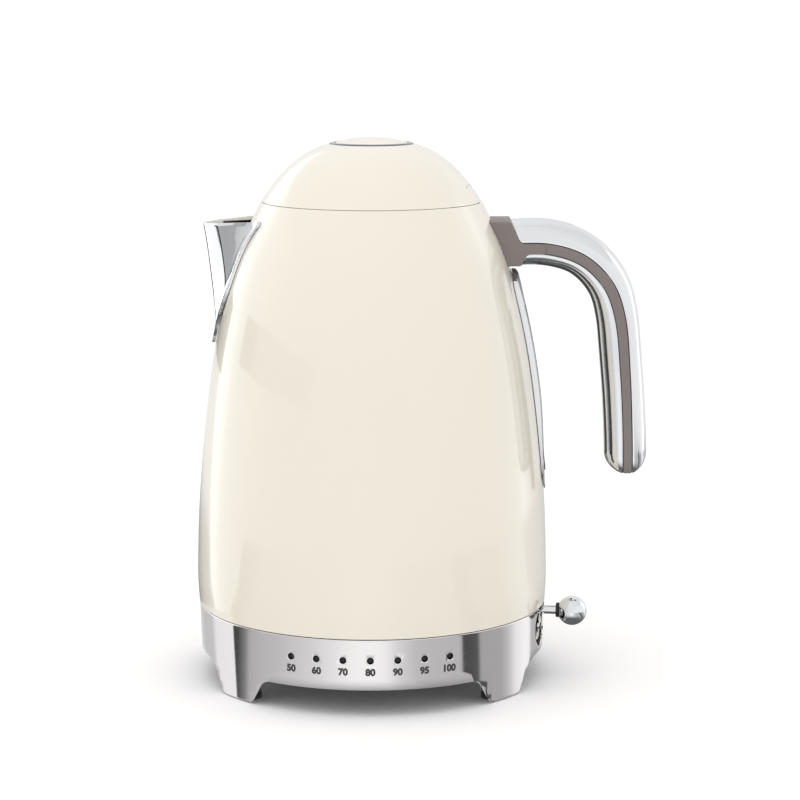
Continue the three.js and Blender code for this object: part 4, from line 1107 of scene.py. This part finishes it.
# adds a boss at every place of a ring and drills it; each is (radius, height, middle)
def bossed(piece, fixing, boss, *bores):
    for _, x, y in ringOf(fixing):
        if boss:
            addOn(piece, cylinder("boss", *boss[:2], (x, y, boss[2])))
        cutAway(piece, *[cylinder("bore", r, tall, (x, y, z)) for r, tall, z in bores])
    return piece


# the pieces between the jug's floor and the worktop
def makeUnderside():
    deckZ, ledge = base["deckZ"], base["ledgeZ"]
    rim, under = skirtR(ledge) - base["wall"] - 0.3, deckZ - 2
    deck = turned("baseDeck", [
        (13.3, 35.2, 0.2), (20, 35.2, 0.4), (20, under, 0.4), (rim - 2.2, under, 0.4),
        (rim - 2.2, ledge + 0.3, 0.2), (rim, ledge + 0.3, 0.2), (rim, deckZ, 1.0), (15.3, deckZ, 0.35),
        (15.3, deckZ - 3.3, 0.1), (13.3, deckZ - 3.3, 0.1),
    ], 160, loop=True)
    bossed(deck, "tray", (4.2, under + 0.5 - 15.1, (under + 0.5 + 15.1) / 2), (1.8, 20, 18.8))
    leverWay = boxed("leverWay", (73.7, -14, 32.2), (99.7, 14, under - 0.01))
    cutAway(deck, swung(leverWay, lever["azimuth"]))
    finished(deck, "base", "taupe_plastic", "base_deck")

    top = deckZ + 9.5
    plug = turned("baseConnector", [
        (0, top - 1), (2.5, top - 1, 0.6), (2.5, deckZ - 0.2, 0.3), (8.6, deckZ - 0.2, 0.3), (8.6, top, 0.4),
        (11.4, top, 0.6), (11.4, deckZ - 0.2, 0.3), (15, deckZ - 0.2, 0.4), (15, deckZ - 3, 0.2),
        (13, deckZ - 3, 0.1), (13, deckZ - 7, 0.3), (0, deckZ - 7),
    ], 80)
    finished(plug, "base", "black_plastic", "base_connector")

    foot, roof = deckZ + 0.6, top + 1
    socket = turned("jugConnector", [
        (0, roof), (2.9, roof, 0.1), (2.9, foot, 0.3), (8, foot, 0.3), (8, roof, 0.1), (12, roof, 0.1),
        (12, foot, 0.3), (18, foot, 0.4), (18, 55, 0.6), (0, 55),
    ], 80)
    finished(socket, "jug_coupler", "black_plastic", "jug_connector")

    wallR, floor = 85.4, foot + 2
    housing = turned("jugFloor", [
        (18.4, foot, 0.4), (wallR, foot, 0.8), (wallR, 56, 0.3), (wallR - 2, 56, 0.3),
        (wallR - 2, floor, 0.6), (20.4, floor, 0.4), (20.4, 55, 0.3), (18.4, 55, 0.3),
    ], 160, loop=True)
    bossed(housing, "floor", (4.6, 3.7, floor + 1.35), (1.8, 12, floor), (3.3, 6, foot - 0.4))
    finished(housing, "jug", "black_plastic", "bottom_housing")
    for name, x, y in ringOf("floor"):
        screw = screwHead("floorScrew" + name.title(), x, y, foot + 0.6, foot + 2.3, 3, 1.5, 62.5)
        finished(screw, "jug", "steel", "housing_screw_" + name, shade=30)

    plateR = radiusAt([Vector(p) for p in moved(jugLine, -jug["wall"])], 58) - 0.3
    plate = turned("jugFloorPlate", [
        (0, 64.5), (plateR - 1.2, 64.5, 1.5), (plateR - 1.2, 58, 0.3), (plateR, 58, 0.3), (plateR, 66, 1.6),
        (60, 66, 3), (58.5, 66, 3), (0, 66),
    ], 160)
    bossed(plate, "floor", (3.4, 15.2, 57.4), (1.8, 20, 53.4))
    finished(plate, "jug", "steel", "heater_plate")


def makeTray():
    low, high, turn = base["trayZ"], base["trayZ"] + base["trayThick"], lever["azimuth"]
    r = skirtR(low) - base["wall"] - 0.3
    tray = turned("baseTray", [(0, low), (r, low, 0.4), (r, high, 0.4), (0, high)], 160)
    bossed(tray, "foot", (4.7, high - 3.8, (high + 2.8) / 2), (2.3, 8.4, 3.8))
    bossed(tray, "tray", None, (1.8, 30, 14))
    for side in (-1, 1):
        near, far = sorted((side * 7.4, side * 10.4))
        ear = boxed("ear", (47, near, high - 0.5), (57, far, 38.4))
        bevelled(ear, 3, 6, lambda a, b, c: c > 38)
        addOn(tray, swung(ear, turn))
    cutAway(tray, swung(cylinder("pinWay", 1.7, 60, (lever["pivotR"], 0, lever["z"]), "Y"), turn))
    for x in (-61, -23):
        for y in (-21, 21):
            addOn(tray, cylinder("post", 3, 5.4, (x, y, 17)))
    for i in range(-4, 5):
        x = 30 + i * 4.2
        cutAway(tray, boxed("vent", (x - 1, 20, low - 1), (x + 1, 56, high + 1)))
    finished(tray, "base", "black_plastic", "base_tray")

    for name, x, y in ringOf("foot"):
        pad = turned("footPad" + name.title().replace("_", ""), [
            (0, 0.5), (2.4, 0.5, 0.3), (2.9, 0, 0.2), (4.7, 0, 0.6), (4.7, 3, 0.3), (2, 3, 0.1),
            (2, 7.6, 0.4), (0, 7.6),
        ], 56, centre=(x, y))
        finished(pad, "base", "rubber", "foot_pad_" + name)
    for name, x, y in ringOf("tray"):
        screw = screwHead("trayScrew" + name.title().replace("_", ""), x, y, 10.9, 12.7, 3, 1.5, high + 12)
        finished(screw, "base", "steel", "tray_screw_" + name, shade=30)

    z = base["glandZ"]
    face, inside = skirtR(z) - 0.4, skirtR(z) - 3.8
    gland = cylinder("cordGland", 5, face - inside + 8, (0, (face + inside - 8) / 2, z), "Y", 56)
    addOn(gland, cylinder("collar", 7.3, 2.7, (0, inside - 2.15, z), "Y", 56))
    cutAway(gland, cylinder("cordWay", 3.2, 60, (0, inside, z), "Y"))
    finished(eased(gland, 0.4, 3, 50), "base", "rubber", "cord_gland")


makeUnderside()
makeTray()
print("underside made")


# a wire coil standing up, with closed ends
def coil(name, x, y, low, high, r, wire, turns):
    curve = bpy.data.curves.new(name, "CURVE")
    curve.dimensions = "3D"
    curve.bevel_depth = wire * mm
    curve.bevel_resolution = 3
    curve.use_fill_caps = True
    line = curve.splines.new("POLY")
    steps = int(turns * 32)
    line.points.add(steps)
    rise = high - low - 2 * wire
    for i, point in enumerate(line.points):
        share = i / steps
        climb = smoothStep(share, 0, 0.16) * 0.08 + share * 0.84 + smoothStep(share, 0.84, 1) * 0.08
        angle = 2 * math.pi * turns * share
        point.co = (*spot(x + r * math.cos(angle), y + r * math.sin(angle), low + wire + rise * climb), 1)
    piece = bpy.data.objects.new(name, curve)
    bpy.context.collection.objects.link(piece)
    pick(piece)
    bpy.ops.object.convert(target="MESH")
    piece = bpy.context.object
    piece.name = piece.data.name = name
    return facesOutward(piece)


def makeSprings():
    low, high = 250.2, 268.1
    spring = coil("buttonSpring", 0, 0, low - 0.3, high, 6.4, 0.6, 5)
    finished(spring, "lid", "steel", "lid_button_spring", shade=50)
    spot(0, 0, low - 0.3)
    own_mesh(spring)
    turn = math.radians(lever["azimuth"])
    x, y = 61.5 * math.cos(turn), 61.5 * math.sin(turn)
    spring = coil("leverSpring", x, y, 15.1, 30.7, 2.8, 0.5, 6)
    finished(spring, "base", "steel", "lever_return_spring", shade=50)
    spot(x, y, 15.1)
    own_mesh(spring)


# a smooth copy of a hidden node: merged, with its sharp edges eased
def smoothCopy(node, name, body, slot, look=None):
    piece = facesOutward(twin(frame["nodes"][node], name))
    openUp(piece)
    bpy.ops.mesh.dissolve_limited(angle_limit=math.radians(1))
    closeUp()
    return finished(eased(piece, 0.3, 2, 30), body, slot, node, look=look)


# the filter behind the spout: a frame with a woven mesh
def makeFilter():
    topX, footX, footZ, topZ = -55.9, -70.3, 188, 229.5
    lean = math.atan2(topX - footX, topZ - footZ)
    length = math.hypot(topX - footX, topZ - footZ)

    def leaned(piece):
        piece.rotation_euler = (0, lean, 0)
        piece.location = spot(footX, 0, footZ)
        return settle(piece)

    def plate(name, inset, thick, back):
        piece = added(name, "circle", vertices=4, radius=1, fill_type="NGON")
        half, top = 7 - inset, 17.6 - inset
        outline = [(-half, inset), (half, inset), (top, length - inset), (-top, length - inset)]
        for corner, (y, z) in zip(piece.data.vertices, outline):
            corner.co = (back * mm, y * mm, z * mm)
        openUp(piece)
        pull(thick * mm, 0, 0)
        closeUp()
        return leaned(facesOutward(piece))

    border = plate("filterFrame", 0, 2, 0)
    cutAway(border, plate("hole", 2.2, 6, -2))
    eased(border, 0.4, 2)
    finished(border, "jug", "black_plastic", "spout_filter_frame")

    weave = added("filterWeave", "grid", x_subdivisions=26, y_subdivisions=34, size=2)
    for corner in weave.data.vertices:
        up = 2.5 + (length - 5) * (corner.co.y + 1) / 2
        half = 4.5 + (15.1 - 4.5) * (up - 2.5) / (length - 5)
        corner.co = (1.0 * mm, corner.co.x * half * mm, up * mm)
    applied(weave, "WIREFRAME", thickness=0.45 * mm, use_replace=True, use_boundary=True)
    finished(leaned(weave), "jug", "steel", "spout_filter_mesh")


# what the dome leaves for the hinge under its skin's line
def domeVolume():
    skin = [(r, domeZ(r) - 0.12) for r in (54.6, 54, 53, 52, 50, 48, 45, 42, 38, 33, 28)]
    return turned("domeVolume", [(0, 232), (51.8, 232), (51.8, 240.7)] + skin + [(0, 268)], 160)


# the fixed half of the hinge: a barrel on a low block, trimmed to the dome
def makeHinge():
    x, z, half = lid["hingeX"], lid["hingeZ"], lid["hingeHalf"]
    foot = jug["ledgeZ"] + 0.3
    block = cylinder("hingeBlock", lid["barrelR"], 2 * half, (x, 0, z), "Y", 72)
    addOn(block, boxed("under", (x, -half, foot), (x + 4, half, z)))
    keepInside(block, domeVolume())
    cutAway(block, cylinder("neckWay", jug["neckR"] + 0.2, 8, (0, 0, 237.15), "Z", 128),
            boxed("knuckleWay", (x - 9, -6.4, z - 3), (x + 9, 6.4, z + 12)),
            cylinder("pinWay", 1.3, 14.2, (x, 0, z), "Y"))
    finished(eased(block, 0.25, 2, 50), "jug", "cream_paint", "lid_hinge_block", shade=40)


makeSprings()
makeFilter()
makeHinge()
smoothCopy("lid_latch", "lidLatch", "lid_latch", "black_plastic")
keepInside(smoothCopy("lid_hinge_arm", "hingeArm", "lid", "taupe_plastic", paint), domeVolume())
pin = cylinder("hingePin", 1.1, 13.8, (lid["hingeX"], 0, lid["hingeZ"]), "Y")
finished(eased(pin, 0.15), "jug", "steel", "lid_hinge_pin")
print("small pieces made")

# what stays hidden inside keeps its own mesh and gets a real finish
slotOf = {entry["node"]: entry["material_slot"] for entry in frame["record"]["subparts"]}
for name, node in frame["nodes"].items():
    for i in range(len(node.data.materials)):
        node.data.materials[i] = finishes[slotOf[name]]
print("inner pieces finished")

studio = {
    "floorSize": 40, "reflectionDomeRadius": 3, "reflectionDomeZ": 120, "brightest": 2.5,
    # tones of the painted reflection dome round the kettle, a glowing sphere that is no lamp, from behind
    # over the left, the front and the right; the darkest stops paint dark reflected stripes
    "lowTones": [(-180, 0.6), (-150, 0.86), (-126, 1.5), (-112, 1.3), (-107.6, 1.2), (-106.8, 0.05),
                 (-100, 0.08), (-92, 0.26), (-88, 0.5), (-76, 0.57), (-64, 0.61), (-48, 0.72), (-36, 0.81),
                 (-24, 0.94), (-12, 1.07), (0, 1.1), (8, 1.05), (16, 0.82), (28, 0.62), (40, 0.585),
                 (60.4, 0.57), (61, 0.075), (74.4, 0.11), (75, 0.44), (96, 0.46), (104, 0.64), (112, 0.95),
                 (128, 1.12), (134, 1.05), (137, 0.58), (180, 0.6)],
    "lowLean": (19.3, 0.019),
    "highTones": [(-180, 2.0), (-126, 2.0), (-118, 1.5), (-110, 1.25), (-90, 1.2), (-76, 1.0), (-60, 0.9),
                  (-30, 0.9), (40, 1.0), (70, 1.0), (100, 1.05), (112, 1.3), (119, 1.8), (125, 1.35),
                  (131, 1.0), (180, 0.9)],
    "topTones": [(-180, 0.95), (-60, 0.9), (0, 0.95), (60, 0.9), (120, 0.85), (180, 0.95)],
    "topStart": (30, 35), "lowEnd": (-10.5, -8.5), "leftFrom": -107.2, "leftLowEnd": (-26, -20),
    # a darker band behind the kettle and dark below the horizon are painted shade in the reflections
    "behind": (137, 143), "behindLean": 0.7, "behindTones": (0.25, 0.88), "behindDark": (-13, -8.5),
    "under": (22, 56), "underBehind": 0.75, "underTone": 0.14,
    # a low grey glowing sheet by the base's left, no lamp and seen only in reflections, a painted reflection:
    # points on the worktop, with its tone
    "lowPaintedReflection": [(-117, -42, 1.0), (-118, -30, 1.0), (-118, -9, 0.95), (-116, 0, 0.66), (-109, 22, 0.62),
                (-88, 50, 0.8)],
    "lowPaintedReflectionSpan": (-40, 26),
    # dark glowing strips seen only in reflections, painted dark reflections, each from corner to corner of
    # its middle line, with its half width along Y or X
    "strips": {
        "handleStrip": ([(102, -8.3, 96), (98.2, -8.3, 156), (95.5, -8.3, 182), (90, -10, 191)],
                        (0, 4.2), 0.07),
        "gaugeStrip": ([(94, 30, 104), (94, 30, 232)], (10, 0), 0.07),
        "noseStrip": ([(-205, 252, 140), (-205, 252, 205)], (95, 48), 0.06),
        "creaseStrip": ([(-225, -13, 170), (-225, -13, 212)], (0, 28), 0.03),
        "faceStrip": ([(-225, -170, 166), (-225, -170, 215)], (0, 129), 0.52),
    },
    "shadeR": 80,
    "worldStrength": 1.05, "lamp": {"place": (-260, -320, 1400), "size": 1100, "power": 3.0},
    "camera": {"place": (-0.01092, -1.2606, 0.3507), "tilt": 80.51, "lens": 114.04},
}


# something that only reflections show: not the camera, the light or the shadows
def reflectedOnly(piece, paintedReflectionLook):
    piece.data.materials.append(paintedReflectionLook)
    piece.visible_camera = piece.visible_diffuse = piece.visible_shadow = False


def grey(tone):
    return (tone, tone, tone, 1)


# a glowing material that is no lamp, for painted reflections, so that its tone in a reflection is the one
# that is set
def paintedReflectionMaterial(name, strength):
    made, start, shader = material(name, Base_Color=grey(0), Specular_IOR_Level=0.0,
                                   Emission_Strength=strength)
    made.cycles.emission_sampling = "NONE"
    where = start.node("ShaderNodeTexCoord", output="Object")
    split = start.node("ShaderNodeSeparateXYZ", {}, {0: where})
    axes = [Signal(start.tree, split.socket.node.outputs[i]) for i in range(3)]
    return made, start, shader, axes


# a glowing sphere that is no lamp and shows only in reflections: every tone on it is a painted reflection
def makePaintedReflectionDome():
    brightest = studio["brightest"]
    made, start, shader, (x, y, z) = paintedReflectionMaterial("tentCloth", brightest)
    x, z = x - axisX, z - studio["reflectionDomeZ"] * mm
    azimuth = start.maths("ARCTAN2", x, 0.0 - y) * (180 / math.pi)
    rise = start.maths("ARCTAN2", z, start.maths("POWER", x * x + y * y, 0.5)) * (180 / math.pi)
    away = start.maths("ABSOLUTE", azimuth)

    def tone(stops, angle=azimuth):
        colours = [((a + 180) / 360, grey(t / brightest)) for a, t in stops]
        return start.node("ShaderNodeValToRGB", {"stops": colours}, {0: angle / 360 + 0.5})

    def between(value, span):
        return start.node("ShaderNodeMapRange", {"interpolation_type": "SMOOTHSTEP"},
                          {"Value": value, "From Min": span[0], "From Max": span[1]})

    lowest, turn = studio["lowLean"]
    leaning = azimuth + (rise + lowest) * azimuth * turn
    left = leaning < studio["leftFrom"]
    rear = [grey(t / brightest) for t in studio["behindTones"]]
    behindTone = tinted(start, between(rise, studio["behindDark"]), *rear)
    behind = between(away - rise * studio["behindLean"], studio["behind"])
    low = between(rise, studio["lowEnd"]) * (1 - left) + between(rise, studio["leftLowEnd"]) * left
    high = tinted(start, behind, tone(studio["highTones"]), behindTone)
    colour = tinted(start, low, tone(studio["lowTones"], leaning), high)
    colour = tinted(start, between(rise, studio["topStart"]), colour, tone(studio["topTones"]))
    # painted shade: what reflections see below the horizon, and more so behind, turns dark
    sunk = (0 - rise) * (1 + between(away, (110, 150)) * studio["underBehind"])
    colour = tinted(start, between(sunk, studio["under"]), colour, grey(studio["underTone"] / brightest))
    feed(start, shader, Emission_Color=colour)
    reflectionDome = added("paintedReflectionDome", "uv_sphere", segments=96, ring_count=48, radius=studio["reflectionDomeRadius"])
    reflectedOnly(reflectionDome, made)


# a low glowing sheet whose tones are painted reflections on the base
def makeLowPaintedReflection():
    low, high = studio["lowPaintedReflectionSpan"]
    points = smoothLine([p[:2] for p in studio["lowPaintedReflection"]], 8)
    wall = mapped("lowPaintedReflection", len(points) - 1, 1, lambda u, v: (
        *points[round((u + 1) / 2 * (len(points) - 1))], high if v > 0.5 else low))
    made, start, shader, (_, y, _) = paintedReflectionMaterial("wallCloth", 1.0)
    first, last = studio["lowPaintedReflection"][0][1] * mm, studio["lowPaintedReflection"][-1][1] * mm
    stops = [((p[1] * mm - first) / (last - first), grey(p[2])) for p in studio["lowPaintedReflection"]]
    feed(start, shader, Emission_Color=start.node("ShaderNodeValToRGB", {"stops": stops},
                                                  {0: (y - first) / (last - first)}))
    reflectedOnly(wall, made)


# painted dark reflections: dark glowing strips, and a disc under the kettle in the last strip's grey that
# paints shade below it
def makeStrips():
    for name, (points, (halfX, halfY), tone) in studio["strips"].items():
        made, start, shader, _ = paintedReflectionMaterial(name + "Cloth", 1.0)
        feed(start, shader, Emission_Color=tinted(start, noise(start, 40), grey(tone * 0.8), grey(tone)))

        def stripSpot(u, v):
            x, y, z = points[round(v * (len(points) - 1))]
            return x + u * halfX, y + u * halfY, z

        reflectedOnly(mapped(name, 1, len(points) - 1, stripSpot), made)
    reflectedOnly(cylinder("underShade", studio["shadeR"], 0.2, (0, 0, 0.2)), made)


def makeStage():
    floor = added("floor", "plane", size=studio["floorSize"])
    made, start, shader = material("palePaper", Roughness=0.9, Specular_IOR_Level=0.1)
    grain = noise(start, 400, 3)
    feed(start, shader,
         Base_Color=tinted(start, grain, rgb(251, 250, 250), rgb(254, 253, 253)),
         Normal=bumped(start, grain, 0.02))
    floor.data.materials.append(made)
    floor.visible_glossy = False
    makePaintedReflectionDome()
    makeLowPaintedReflection()
    makeStrips()

    scene = bpy.context.scene
    scene.view_settings.view_transform = "Standard"
    world = bpy.data.worlds.new("studio")
    scene.world = world
    world.use_nodes = True
    background = world.node_tree.nodes["Background"].inputs
    background["Color"].default_value = grey(1)
    background["Strength"].default_value = studio["worldStrength"]

    lamp = studio["lamp"]
    clearSelection()
    bpy.ops.object.light_add(type="AREA", location=spot(*lamp["place"]))
    light = bpy.context.object
    light.name = "softLamp"
    light.rotation_euler = (Vector(spot(0, 0, 60)) - light.location).to_track_quat("-Z", "Y").to_euler()
    light.data.size = lamp["size"] * mm
    light.data.energy = lamp["power"]
    light.visible_glossy = False

    clearSelection()
    view = studio["camera"]
    bpy.ops.object.camera_add(location=view["place"], rotation=(math.radians(view["tilt"]), 0, 0))
    camera = bpy.context.object
    camera.data.lens = view["lens"]
    scene.camera = camera


makeStage()
print("studio made")
